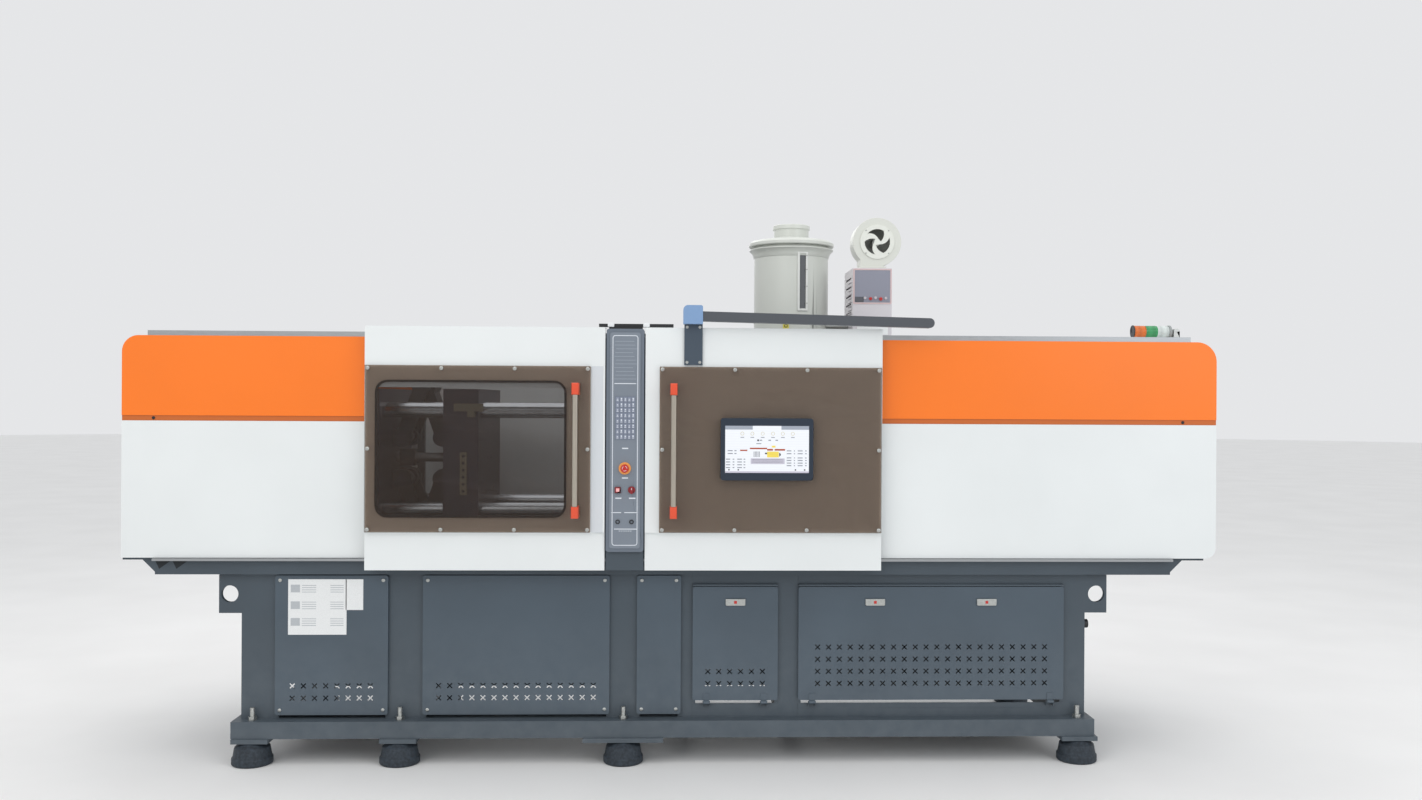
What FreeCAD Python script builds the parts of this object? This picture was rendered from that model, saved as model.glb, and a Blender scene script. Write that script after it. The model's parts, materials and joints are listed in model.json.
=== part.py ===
"""Injection moulding machine, all-electric, with sliding guards, hopper and dryer.

Frame: millimetres, +Z up. The origin is on the floor under the middle of the machine. +X runs along the
machine from the clamp end to the injection end, and the operator stands on the -Y side.
"""
import FreeCAD, Part
import math
import os

V = FreeCAD.Vector

# ---------------------------------------------------------------- driving dimensions
LENGTH = 5460.0              # over both hoods
HANDLE_HALF_D = 800.0        # middle plane to the face of a handle bar

# zones along X, from the clamp end
CLAMP_HOOD_L = 1200.0
GATE_L = 1172.0              # each sliding gate
COLUMN_W = 192.0             # control column
GATE_GAP = 3.0               # gate edge to column or hood edge

# half depths, middle plane to each outer face
BODY_HALF_D = 560.0          # bed posts
BEAM_HALF_D = 600.0          # top beams
HOOD_HALF_D = 620.0
RAIL_HALF_D = 640.0          # bottom rails
GATE_HALF_D = 700.0          # front face of a gate
WINDOW_HALF_D = 716.0        # face of the smoked window

# heights
MOUNT_H = 108.0              # machine mount, floor to bracket
BRACKET_T = 22.0
RAIL_H = 84.0
BODY_H = 721.0               # bottom rail to top beam
BEAM_H = 85.0
HOOD_H = 1095.0
SEAM_H = 675.0               # hood bottom to the seam between white and orange
SEAM_STRIP_H = 26.0
GATE_DROP = 52.0             # gate bottom below the hood bottom
GATE_RISE = 50.0             # gate top above the hood top

# clearances
RUN = 0.05                   # radial clearance of a running fit
SEAT = 0.3                   # air between faces that slide past each other
SHEET = 3.0                  # sheet steel
SAME = 1e-6                  # two positions this close are one

# ---------------------------------------------------------------- bed
BED_SETBACK = 568.0          # clamp hood's end to the bed's end
POST_WIDTHS = (170.0, 172.0, 137.0, 59.0, 104.0, 114.0)
BAY_WIDTHS = (557.0, 930.0, 221.0, 429.0, 1350.0)
PLAIN_BAY = 2                # its cover has no vents
SMALL_DOOR_BAY = 3
LARGE_DOOR_BAY = 4
RAIL_OVERHANG = 25.0
RAIL_W = 160.0
TUBE_WALL = 8.0
POST_D = 80.0
POST_LAP = 15.0              # post stands this far behind each panel's edge
BEAM_D = 100.0
BEAM_INSET = (157.0, 226.0)  # top beam's ends from the hoods' ends
CROSS_W = 60.0
CROSS_H = 70.0
INNER_BEAM_Y = (210.0, 310.0)
HOOD_FLOOR_T = 12.0
GUSSET_L = 60.0
EYE_REACH = 112.0
EYE_H = 191.0
EYE_TOP_DROP = 7.0           # below the top beam's underside
EYE_T = 25.0
EYE_R = 42.0
EYE_HOLE_BACK = 53.0         # hole centre from the plate's outer edge
MOUNT_R = 99.0
MOUNT_NECK_R = 50.0
MOUNT_PAD_H = 34.0
MOUNT_EDGE = 6.0             # rounding of the pad's edges
MOUNT_DOME_IN = 14.0         # dome's shoulder inside the pad's rim
MOUNT_DOME_DROP = 22.0       # dome's shoulder below its top
MOUNT_X = (69.0, 793.0, 1901.0, 4191.0)   # from the bed's clamp end
MOUNT_Y = 598.0
BRACKET_L = (180.0, 180.0, 400.0, 180.0)
BRACKET_W = 110.0
STUD_R = 12.0
STUD_RISE = 62.0
STUD_NUT_R = 22.0
STUD_NUT_H = 18.0
NUT_SIDES = 6

# ---------------------------------------------------------------- bed covers
PANEL_T = 18.0
PANEL_R = 12.0               # corner radius of a cover
SHARP_R = 0.1                # least rounding of a folded corner
PANEL_TOP_GAP = 8.0
PANEL_FOOT_GAP = 18.0
END_COVER_LAP = 12.0         # end cover's edge onto the corner posts
SCREW_R = 9.0
SCREW_H = 4.0
SCREW_INSET = 24.0
VENT_ARM = 17.0              # half length of one arm of an X vent
VENT_W = 6.0
VENT_PITCH_X = 55.0
VENT_PITCH_Z = 61.0
VENT_CUT = 1.0               # a vent's cutter runs this far past each face
LOW_VENT_Z = 84.0            # lower row of vents above the panel's foot
COVER_VENT_ROWS = 2
SMALL_DOOR_VENTS = (6, 2)    # columns, rows
LARGE_DOOR_VENTS = (22, 4)
DOOR_H = 571.0
DOOR_FOOT = 86.0             # door's foot above the bottom rail
DOOR_LIP_H = 26.0
DOOR_T = 20.0
DOOR_HINGE_R = 4.0
DOOR_KNUCKLE_R = 8.0
DOOR_KNUCKLE_L = 30.0
DOOR_HINGE_INSET = 70.0
DOOR_HINGE_GAP = 1.0         # knuckle to the door's foot and to the toe strip
DOOR_STRAP_H = 35.0          # hinge strap above the door's foot
DRIP_LIP_H = 9.0
LATCH_W = 99.0
LATCH_H = 34.0
LATCH_T = 7.0
LATCH_R = (6.0, 6.0, 0.0, 0.0)
LATCH_SPOTS = (0.287, 0.707) # the large door's two latches, as shares of its width
LATCH_DROP = 60.0            # latch's top edge below the door's top
BACKPLATE_T = 3.0
BACKPLATE_TOP = 80.0         # back plate's top below the top beam's underside
DRIVE_W = 210.0
DRIVE_D = 70.0
DRIVE_H = 380.0
DRIVE_COUNT = 5
GLAND_R = 22.0
GLAND_L = 26.0
GLAND_DROP = 260.0           # below the top beam

# ---------------------------------------------------------------- hoods and guards
HOOD_R_CLAMP = 80.0          # rounded upper corner
HOOD_R_INJ = 100.0
HOOD_R_FOOT = 55.0           # rounded lower corner of the injection hood
SEAM_RECESS = 5.0
UPPER_RAIL_W = 30.0
UPPER_RAIL_H = 25.0
UPPER_RAIL_INSET = 10.0      # rail's outer face behind the hood's face
UPPER_RAIL_END = 80.0        # rail's end from the hood's end
LOWER_RAIL_H = 12.0
LOWER_RAIL_DROP = 14.0       # rail's underside below the hood
GUARD_POST_W = 40.0
GUARD_POST_D = 40.0
HEADER_H = 40.0
COLUMN_FOOT = 40.0           # column's foot above the hood bottom
COLUMN_RISE = 43.0           # column's top above the hood top

FACE_T = 4.0
FACE_INSET = 18.0

# ---------------------------------------------------------------- controls, heights above the floor
ESTOP_Z = 1472.0
ESTOP_COLLAR_R = 30.0
ESTOP_COLLAR_H = 9.0
ESTOP_CAP_R = 20.0
ESTOP_STEM_R = 11.0
ESTOP_CAP_H = 16.0
ESTOP_TRAVEL = 6.0
BUTTON_Z = 1366.0
BUTTON_W = 30.0
BUTTON_STEM_W = 20.0
BUTTON_CAP_H = 10.0
BUTTON_TRAVEL = 4.0
KNOB_R = 18.0
KNOB_H = 20.0
KNOB_STEM_R = 7.0
KNOB_GRIP_HALF_W = 6.3
KNOB_GRIP_H = 12.0
BUTTON_R = 3.0
CONTROL_OFFSET = 34.0        # button and selector either side of the column's middle
SOCKET_Z = 1209.0
SOCKET_R = 11.0
SOCKET_BORE_R = 6.6
SOCKET_H = 5.0
KEYPAD_W = 100.0
KEYPAD_Z = (1612.0, 1828.0)
KEYPAD_T = 1.5

# ---------------------------------------------------------------- sliding gates
GATE_T = 38.0
SKIRT_H = 187.0
SKIRT_SETBACK = 12.0
GATE_SHEET = 3.0
SHOE_L = 90.0
SHOE_W = 26.0
WINDOW_T = 6.0
WINDOW_TOP_DROP = 192.0      # window's top below the gate's top
WINDOW_H = 817.0
WINDOW_L = 1098.0
WINDOW_EDGE = 4.0            # window's outer edge from the gate's outer edge
CUTOUT_W = 953.0
CUTOUT_H = 640.0
CUTOUT_R = 30.0
CUTOUT_EDGE = 32.0           # cut-out's edge from the gate's outer edge
CUTOUT_FOOT = 257.0          # cut-out's foot above the gate's foot
STANDOFF_R = 8.0
WINDOW_SCREW_R = 10.0
WINDOW_SCREW_H = 5.0
WINDOW_SCREW_INSET = 14.0
HANDLE_END_H = 58.0
HANDLE_END_W = 35.0
HANDLE_BAR_W = 25.0
HANDLE_BAR_D = 24.0
HANDLE_BAR_SETBACK = 2.0     # bar's face behind the end blocks' faces
HANDLE_BAR_L = 542.0
HANDLE_MID_Z = 1561.0
HANDLE_FROM_INNER = 140.0    # handle's middle from the gate's inner edge
SCREEN_W = 455.0
SCREEN_H = 305.0
SCREEN_D = 34.0
SCREEN_X = 370.0             # screen's edge from the nozzle gate's inner edge
SCREEN_Z = 1417.0
SCREEN_R = 14.0
GLASS_MARGIN = 22.0          # at each side
GLASS_MARGIN_Z = 37.4        # above and below
GLASS_R = 3.0
WINDOW_R = 4.0
GLASS_T = 3.0
DUCT_X = 190.0               # duct bracket's edge from the nozzle gate's inner edge
DUCT_W = 90.0
DUCT_BRACKET_T = 12.0
DUCT_BRACKET_RISE = 16.0     # bracket's top above the gate's top
DUCT_BRACKET_H = 200.0
DUCT_SCREW_R = 7.2
DUCT_SCREW_INSET = 13.5
ELBOW_D = 60.0
ELBOW_H = 92.0
ELBOW_LIP = 6.0
ELBOW_R = (2.0, 2.0, 10.0, 24.0)
ARM_DROP = 30.0              # arm's top below the elbow's top
ARM_L = 1140.0
ARM_H = 48.0
ARM_R = 23.0                 # rounding of the arm's far end
ARM_D = 50.0
ARM_TILT = -1.3              # degrees

# ---------------------------------------------------------------- clamp unit
AXIS_Z = 1490.0              # middle of the mould, screw axis
PLATEN_W = 800.0
PLATEN_H = 740.0
FIXED_PLATEN_T = 175.0
FIXED_PLATEN_SETBACK = 8.0   # rear face to the column's clamp-side edge
MOVING_PLATEN_T = 180.0
TOGGLE_PLATEN_T = 170.0
DAYLIGHT = 485.0             # between platens at rest
TIE_BAR_R = 40.0
TIE_BAR_Y = 300.0
TIE_BAR_Z = 260.0
TIE_NUT_R = 62.0
TIE_NUT_T = 60.0
GUIDE_Y = 260.0
GUIDE_W = 40.0
GUIDE_H = 25.0
GUIDE_SHOE_W = 90.0
PLATEN_SHOE_L = 170.0
RING_R = 62.5                # locating ring bore
RING_L = 30.0
NOZZLE_WELL_R = 150.0        # opening behind the locating ring
MOULD_HOLE_R = 8.5
MOULD_HOLE_L = 40.0
MOULD_BOLT_Y = 280.0
MOULD_BOLT_Z = 350.0
LINK_L = 300.0
LINK_OPEN_DEG = 70.0         # link from the machine's axis at rest
PIVOT_Z = 110.0
PIVOT_R = 30.0
PIVOT_BOSS_R = 50.0
LUG_R = 46.0
PIVOT_REACH = 60.0           # pivot from the platen's face
KNEE_PLAY = 14.0             # open pivot at the knee
KNEE_EYE_R = 66.0
LINK_W = 76.0
CHEEK_Y = (100.0, 140.0)     # rear link's two cheeks
REAR_LUG_Y = (45.0, 97.0)
FRONT_LUG_Y = (82.0, 125.0)
FRONT_LINK_HALF_D = 79.0
CROSSHEAD_L = 80.0
CROSSHEAD_W = 75.0
CROSSHEAD_H = 90.0
CROSSHEAD_GAP = 25.0         # toggle platen to crosshead at rest
BALL_R = 25.0
BALL_TIP_GAP = 15.0          # ball screw's tip to the moving platen at rest
CLAMP_MOTOR_R = 130.0
CLAMP_MOTOR_L = 230.0
MOTOR_FLANGE_T = 24.0
CLAMP_SCREW_TAIL = 20.0      # ball screw proud of the motor
EJECTOR_T = 30.0
EJECTOR_W = 156.0
EJECTOR_H = 70.0
EJECTOR_ROOM = 3.0           # plate's edges to the pocket's walls
EJECTOR_GAP = 22.0           # ejector plate to the moving platen's rear face
EJECTOR_PIN_R = 12.0
EJECTOR_PIN_Y = 60.0
EJECTOR_PIN_LAND = 5.0       # pin's tip inside the platen's front face
EJECTOR_POCKET = 105.0       # pocket for the ejector plate in the platen's rear

# ---------------------------------------------------------------- injection unit
BARREL_R = 70.0
BARREL_BORE_R = 25.0
BARREL_L = 880.0             # nozzle side of the feed block
NOZZLE_R = 30.0
NOZZLE_TIP_R = 15.0
NOZZLE_L = 90.0
NOZZLE_HOLE_R = 4.0
HEATER_R = 84.0
HEATER_L = 90.0
HEATER_COUNT = 5
HEATER_FIRST = 120.0
HEATER_PITCH = 130.0
FEED_BLOCK_L = 200.0
FEED_BLOCK_W = 400.0
FEED_BLOCK_H = 150.0         # above the screw axis
HOPPER_BACK = 391.0          # hopper's middle from the injection hood's edge
THROAT_R = 45.0
CARRIAGE_T = 38.0
CARRIAGE_GAP = 27.0          # shoe height, rail to carriage
CARRIAGE_W = 640.0
CARRIAGE_L = 1720.0
CARRIAGE_LEAD = 90.0         # carriage plate ahead of the feed block
CARRIAGE_SHOE_L = 160.0
REAR_PLATE_T = 80.0
REAR_PLATE_X = 1270.0        # feed block's rear face to the rear plate
REAR_PLATE_W = 500.0
REAR_PLATE_H = 240.0         # above the screw axis
ROD_R = 30.0
ROD_Y = 180.0
DRIVE_PLATE_X = 330.0        # feed block's rear face to the drive plate at rest
DRIVE_PLATE_T = 90.0
DRIVE_PLATE_W = 470.0
DRIVE_PLATE_H = 220.0
DRIVE_MOTOR_R = 120.0
DRIVE_MOTOR_L = 260.0
SCREW_TIP_GAP = 60.0         # screw's shoulder behind the nozzle's root
SCREW_TIP_L = 36.0
SCREW_TIP_R = 5.0
SCREW_SOCKET_L = 60.0
NUT_DEPTH = 200.0            # ball screw's bore in the drive motor
NUT_TIP_GAP = 15.0
REAR_MOTOR_L = 240.0
CARRIAGE_TRAVEL = 200.0

# ---------------------------------------------------------------- hopper and dryer, RISE is above the hood
HOPPER_R = 203.0
HOPPER_WALL = 3.0
HOPPER_RISE = 533.0
CONE_TOP_RISE = 55.0
CONE_FOOT_DROP = 265.0       # below the hood top
HOPPER_FLANGE_W = 190.0
HOPPER_FLANGE_T = 15.0
LID_R = 233.0
LID_H = 52.0
LID_SKIRT = 4.0
CAP_R = 96.0
CAP_H = 70.0
CAP_STEP = 24.0
LID_HINGE_R = 6.0
LID_HINGE_L = 90.0
LID_HINGE_OUT = 18.0
SIGHT_W = 58.0
SIGHT_RISE = (175.0, 495.0)
SIGHT_FRAME = 12.0
SIGHT_FRAME_T = 8.0
SIGHT_CUT = 30.0             # cutter's reach either side of the wall
SIGHT_GLASS_T = 4.0
SIGHT_AZ = 12.0              # degrees from the front towards the injection end
DRYER_OFFSET = 304.0         # hopper's middle to the dryer's near side
DRYER_W = 210.0
DRYER_Y = (-250.0, 50.0)
DRYER_RISE = (42.0, 401.0)
DRYER_WALL = 4.0
LOUVRE_COUNT = 5
LOUVRE_H = 9.0
LOUVRE_L = 190.0
LOUVRE_PITCH = 46.0
LOUVRE_TOP_DROP = 55.2       # first louvre below the dryer's top
AIR_DUCT_R = 30.0
AIR_DUCT_WALL = 3.0
AIR_DUCT_RISE = 100.0
AIR_DUCT_Y = -60.0
AIR_DUCT_LAP = 9.0           # duct starts this far inside the wall, then is trimmed to it
BLOWER_OFFSET = 136.0        # dryer's near side to the blower's axis
BLOWER_RISE = 545.0
BLOWER_R = 130.0
BLOWER_Y = (-215.0, -95.0)
BLOWER_WALL = 4.0
BLOWER_EYE_R = 80.0
BLOWER_NECK = (-90.0, 36.0)  # neck's sides from the blower's axis
BLOWER_NECK_FLANGE = 12.0
GUARD_RIM_R = 92.0
GUARD_T = 6.0
SWIRL_R = 68.0
SWIRL_COUNT = 3
SWIRL_SHARES = (0.28, 0.62, 1.0)     # radii along an edge of an opening, as shares of SWIRL_R
SWIRL_LEAD = (8.0, 38.0, 60.0)       # degrees at those radii
SWIRL_TRAIL = (78.0, 112.0, 140.0)
IMPELLER_R = 112.0
IMPELLER_HUB_R = 22.0
IMPELLER_BLADES = 12
IMPELLER_BLADE_T = 4.0
IMPELLER_BLADE_L = 60.0
IMPELLER_BLADE_W = 28.0
IMPELLER_RIM = 2.0           # blades' tips inside the disc's rim
IMPELLER_SHAFT_R = 10.0

# ---------------------------------------------------------------- signal light
LIGHT_R = 34.0
LIGHT_SEGMENT = 62.0
LIGHT_SEGMENTS = 3
LIGHT_BASE_L = 12.0
LIGHT_END_L = 4.0
LIGHT_LIP = 2.0              # base and end cap proud of the lenses
LIGHT_INSET = 80.0           # fold axis from the injection hood's end
LIGHT_Y = -300.0
LIGHT_RISE = 70.0            # fold axis above the hood top
LIGHT_PIN_R = 8.0
LIGHT_EYE_R = 12.8
LIGHT_EAR_R = 16.0
LIGHT_EAR_T = 8.0
LIGHT_EAR_GAP = 24.0
LIGHT_TONGUE = 30.0
LIGHT_FOOT_T = 6.0

# ---------------------------------------------------------------- positions worked out from the above
X_LEFT = -LENGTH / 2.0
X_RIGHT = LENGTH / 2.0
X_CLAMP = X_LEFT + CLAMP_HOOD_L
X_COL0 = X_CLAMP + GATE_L + 2.0 * GATE_GAP
X_COL1 = X_COL0 + COLUMN_W
X_INJ = X_COL1 + GATE_L + 2.0 * GATE_GAP
Z_RAIL = MOUNT_H + BRACKET_T
Z_BODY = Z_RAIL + RAIL_H
Z_BEAM = Z_BODY + BODY_H
Z_HOOD = Z_BEAM + BEAM_H
Z_SEAM = Z_HOOD + SEAM_H
Z_TOP = Z_HOOD + HOOD_H
BED_X0 = X_LEFT + BED_SETBACK
BED_X1 = BED_X0 + sum(POST_WIDTHS) + sum(BAY_WIDTHS)
COLUMN_MID = (X_COL0 + X_COL1) / 2.0
COLUMN_BACK = HOOD_HALF_D - SHEET
GATE_Z0 = Z_HOOD - GATE_DROP
GATE_Z1 = Z_TOP + GATE_RISE
X_FIXED1 = X_COL0 - FIXED_PLATEN_SETBACK
X_FIXED0 = X_FIXED1 - FIXED_PLATEN_T
X_MOVING1 = X_FIXED0 - DAYLIGHT
X_MOVING0 = X_MOVING1 - MOVING_PLATEN_T
X_PIVOT_B = X_MOVING0 - PIVOT_REACH
X_PIVOT_A = X_PIVOT_B - 2.0 * LINK_L * math.cos(math.radians(LINK_OPEN_DEG))
X_TOGGLE1 = X_PIVOT_A - PIVOT_REACH
X_TOGGLE0 = X_TOGGLE1 - TOGGLE_PLATEN_T
HOPPER_X = X_INJ - HOPPER_BACK
DRYER_X = HOPPER_X + DRYER_OFFSET
BLOWER_X = DRYER_X + BLOWER_OFFSET
LIGHT_X = X_RIGHT - LIGHT_INSET
X_FEED0 = HOPPER_X - FEED_BLOCK_L / 2.0
X_FEED1 = HOPPER_X + FEED_BLOCK_L / 2.0
X_CARRIAGE0 = X_FEED0 - CARRIAGE_LEAD
X_DRIVE0 = X_FEED1 + DRIVE_PLATE_X
X_DRIVE1 = X_DRIVE0 + DRIVE_PLATE_T
X_REAR0 = X_FEED1 + REAR_PLATE_X
X_REAR1 = X_REAR0 + REAR_PLATE_T
Z_GUIDE = Z_HOOD + GUIDE_H
Z_CARRIAGE = Z_GUIDE + CARRIAGE_GAP
Z_CARRIAGE1 = Z_CARRIAGE + CARRIAGE_T
Z_FEED1 = AXIS_Z + FEED_BLOCK_H
HOPPER_TOP = Z_TOP + HOPPER_RISE
CONE_TOP = Z_TOP + CONE_TOP_RISE
CONE_FOOT = Z_TOP - CONE_FOOT_DROP
SIGHT_Z = (Z_TOP + SIGHT_RISE[0], Z_TOP + SIGHT_RISE[1])
DRYER_Z = (Z_TOP + DRYER_RISE[0], Z_TOP + DRYER_RISE[1])
AIR_DUCT_Z = Z_TOP + AIR_DUCT_RISE
BLOWER_Z = Z_TOP + BLOWER_RISE


# ---------------------------------------------------------------- helpers
def box(x0, x1, y0, y1, z0, z1):
    return Part.makeBox(x1 - x0, y1 - y0, z1 - z0, V(x0, y0, z0))


def rod(axis, x, y, z, length, radius):
    return Part.makeCylinder(radius, length, V(x, y, z), axis)


def pipe(axis, x, y, z, length, radius, bore):
    return rod(axis, x, y, z, length, radius).cut(rod(axis, x, y, z, length, bore))


AX = V(1, 0, 0)
AY = V(0, 1, 0)
AZ = V(0, 0, 1)


def fuse(shapes):
    return shapes[0].multiFuse(shapes[1:]).removeSplitter()


def mirror_y(shape):
    return shape.mirror(V(0, 0, 0), AY)


def both_sides(shapes):
    """The front pieces and their copies on the rear side."""
    return list(shapes) + [mirror_y(s) for s in shapes]


def outline_xz(points, radii, y):
    """Closed wire in an XZ plane. radii gives each corner's rounding, 0 for a sharp corner."""
    edges = []
    starts = []
    ends = []
    count = len(points)
    for i in range(count):
        corner = V(points[i][0], y, points[i][1])
        before = V(points[i - 1][0], y, points[i - 1][1])
        after = V(points[(i + 1) % count][0], y, points[(i + 1) % count][1])
        into = (before - corner).normalize()
        out = (after - corner).normalize()
        reach = radii[i] / math.tan(into.getAngle(out) / 2.0)
        starts.append(corner + into * reach)
        ends.append(corner + out * reach)
        if radii[i] > 0:
            bisector = (into + out).normalize()
            centre = corner + bisector * (radii[i] / math.sin(into.getAngle(out) / 2.0))
            middle = centre - bisector * radii[i]
            edges.append(Part.Arc(starts[i], middle, ends[i]).toShape())
    for i in range(count):
        edges.append(Part.LineSegment(ends[i], starts[(i + 1) % count]).toShape())
    return Part.Wire(Part.__sortEdges__(edges))


def plate_xz(points, radii, y0, y1):
    """Flat plate with the given outline, between two Y planes."""
    return Part.Face(outline_xz(points, radii, y0)).extrude(V(0, y1 - y0, 0))


def rect(x0, x1, z0, z1):
    return ((x0, z0), (x1, z0), (x1, z1), (x0, z1))


def tray(x0, x1, z0, z1, y_face, depth, radius, sheet):
    """Folded cover with its face at y_face and its edges turned in towards +Y."""
    corners = (radius, radius, radius, radius)
    inner = max(radius - sheet, SHARP_R)
    shell = plate_xz(rect(x0, x1, z0, z1), corners, y_face, y_face + depth)
    hollow = plate_xz(rect(x0 + sheet, x1 - sheet, z0 + sheet, z1 - sheet),
                      (inner, inner, inner, inner), y_face + sheet, y_face + depth)
    return shell.cut(hollow)


def nut(x, y, z0, z1, radius):
    points = []
    for i in range(NUT_SIDES + 1):
        angle = 2.0 * math.pi * i / NUT_SIDES
        points.append(V(x + radius * math.cos(angle), y + radius * math.sin(angle), z0))
    return Part.Face(Part.makePolygon(points)).extrude(V(0, 0, z1 - z0))


def save(node, shapes):
    """Writes one node's solids to its STEP file."""
    solids = []
    for shape in shapes:
        solids.extend(shape.Solids)
    Part.makeCompound(solids).exportStep(os.path.join("parts", node + ".step"))


# ---------------------------------------------------------------- bed
def bays():
    """Clear span along X of each bay between two posts."""
    spans = []
    x = BED_X0
    for post, bay in zip(POST_WIDTHS, BAY_WIDTHS):
        x += post
        spans.append((x, x + bay))
        x += bay
    return spans


def post_spans():
    edges = [BED_X0]
    for span in bays():
        edges.extend(span)
    edges.append(BED_X1)
    return [(edges[i], edges[i + 1]) for i in range(0, len(edges), 2)]


def bed_rails():
    x0 = BED_X0 - RAIL_OVERHANG
    x1 = BED_X1 + RAIL_OVERHANG
    y0 = -RAIL_HALF_D
    y1 = y0 + RAIL_W
    tube = box(x0 + TUBE_WALL, x1 - TUBE_WALL, y0, y1, Z_RAIL, Z_BODY)
    hollow = box(x0, x1, y0 + TUBE_WALL, y1 - TUBE_WALL, Z_RAIL + TUBE_WALL, Z_BODY - TUBE_WALL)
    caps = [box(x0, x0 + TUBE_WALL, y0, y1, Z_RAIL, Z_BODY),
            box(x1 - TUBE_WALL, x1, y0, y1, Z_RAIL, Z_BODY)]
    stems = [rod(AZ, BED_X0 + x, -MOUNT_Y, Z_RAIL, RAIL_H, STUD_R + SEAT) for x in MOUNT_X]
    return both_sides([tube.cut(hollow).cut(Part.makeCompound(stems))] + caps)


def bed_frame():
    """Posts, cross members, inner beams that carry the guides, and the two top beams."""
    y0 = -BODY_HALF_D
    y1 = y0 + POST_D
    spans = post_spans()
    side = []
    cross = []
    for i, (x0, x1) in enumerate(spans):
        lap0 = POST_LAP if i > 0 else 0.0
        lap1 = POST_LAP if i < len(spans) - 1 else 0.0
        outer = box(x0 - lap0, x1 + lap1, y0, y1, Z_BODY, Z_BEAM)
        inner = box(x0 - lap0 + TUBE_WALL, x1 + lap1 - TUBE_WALL, y0 + TUBE_WALL, y1 - TUBE_WALL,
                    Z_BODY, Z_BEAM)
        side.append(outer.cut(inner))
        mid = (x0 + x1) / 2.0
        cross.append(box(mid - CROSS_W / 2.0, mid + CROSS_W / 2.0, y1, -y1, Z_BEAM - CROSS_H, Z_BEAM))
        cross.append(box(mid - CROSS_W / 2.0, mid + CROSS_W / 2.0, -RAIL_HALF_D + RAIL_W,
                         RAIL_HALF_D - RAIL_W, Z_RAIL + TUBE_WALL, Z_RAIL + TUBE_WALL + CROSS_H))
    beam_x0 = X_LEFT + BEAM_INSET[0]
    beam_x1 = X_RIGHT - BEAM_INSET[1]
    beam_y0 = -BEAM_HALF_D
    side.append(box(beam_x0, beam_x1, beam_y0, beam_y0 + BEAM_D, Z_BEAM, Z_HOOD)
                .cut(box(beam_x0, beam_x1, beam_y0 + TUBE_WALL, beam_y0 + BEAM_D - TUBE_WALL,
                         Z_BEAM + TUBE_WALL, Z_HOOD - TUBE_WALL)))
    side.append(box(spans[0][0], spans[-1][1], INNER_BEAM_Y[0], INNER_BEAM_Y[1], Z_BEAM, Z_HOOD))
    side += gussets(beam_x0, -1.0) + gussets(beam_x1, 1.0)
    floors = [box(X_LEFT, beam_x0, -BEAM_HALF_D, BEAM_HALF_D, Z_HOOD - HOOD_FLOOR_T, Z_HOOD),
              box(beam_x1, X_RIGHT - HOOD_R_FOOT, -BEAM_HALF_D, BEAM_HALF_D,
                  Z_HOOD - HOOD_FLOOR_T, Z_HOOD)]
    return both_sides(side) + cross + floors


def gussets(x, way):
    """Triangular plate under the hood floor, against the end of a top beam."""
    low = Z_HOOD - HOOD_FLOOR_T - GUSSET_L
    points = ((x, low), (x, Z_HOOD - HOOD_FLOOR_T), (x + way * GUSSET_L, Z_HOOD - HOOD_FLOOR_T))
    return [plate_xz(points, (0, 0, 0), -BEAM_HALF_D, -BEAM_HALF_D + TUBE_WALL)]


def lifting_eyes():
    """Four plates with a crane hole, welded to the bed's corners."""
    eyes = []
    top = Z_BEAM - EYE_TOP_DROP
    for x_body, way in ((BED_X0, -1.0), (BED_X1, 1.0)):
        x_out = x_body + way * EYE_REACH
        plate = plate_xz(rect(min(x_body, x_out), max(x_body, x_out), top - EYE_H, top),
                         (0, 0, 0, 0), -BODY_HALF_D, -BODY_HALF_D + EYE_T)
        hole = rod(AY, x_out - way * EYE_HOLE_BACK, -BODY_HALF_D, top - EYE_H / 2.0, EYE_T, EYE_R)
        eyes.append(plate.cut(hole))
    return both_sides(eyes)


def machine_mounts():
    """Rubber-footed mounts: a low pad, a domed cap and the foot of the stud."""
    mounts = []
    for x in MOUNT_X:
        centre = BED_X0 + x
        profile = Part.makePolygon([V(0, 0, 0), V(MOUNT_R - MOUNT_EDGE, 0, 0), V(MOUNT_R, 0, MOUNT_EDGE),
                                    V(MOUNT_R, 0, MOUNT_PAD_H),
                                    V(MOUNT_R - MOUNT_EDGE, 0, MOUNT_PAD_H + MOUNT_EDGE),
                                    V(MOUNT_R - MOUNT_DOME_IN, 0, MOUNT_H - MOUNT_DOME_DROP),
                                    V(MOUNT_NECK_R, 0, MOUNT_H), V(0, 0, MOUNT_H), V(0, 0, 0)])
        mount = Part.Face(profile).revolve(V(0, 0, 0), AZ, 360)
        mount.translate(V(centre, -MOUNT_Y, 0))
        mounts.append(mount)
    return both_sides(mounts)


def foot_brackets():
    """Bracket plates under the rails, with levelling studs and nuts through them."""
    pieces = []
    for x, length in zip(MOUNT_X, BRACKET_L):
        centre = BED_X0 + x
        plate = box(centre - length / 2.0, centre + length / 2.0, -MOUNT_Y - BRACKET_W / 2.0,
                    -MOUNT_Y + BRACKET_W / 2.0, MOUNT_H, Z_RAIL)
        hole = rod(AZ, centre, -MOUNT_Y, MOUNT_H, BRACKET_T, STUD_R + RUN)
        stud = rod(AZ, centre, -MOUNT_Y, MOUNT_H, Z_BODY + STUD_RISE - MOUNT_H, STUD_R)
        thread = rod(AZ, centre, -MOUNT_Y, Z_BODY, STUD_NUT_H, STUD_R + RUN)
        stud_nut = nut(centre, -MOUNT_Y, Z_BODY, Z_BODY + STUD_NUT_H, STUD_NUT_R).cut(thread)
        pieces += [plate.cut(hole), stud, stud_nut]
    return both_sides(pieces)


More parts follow.
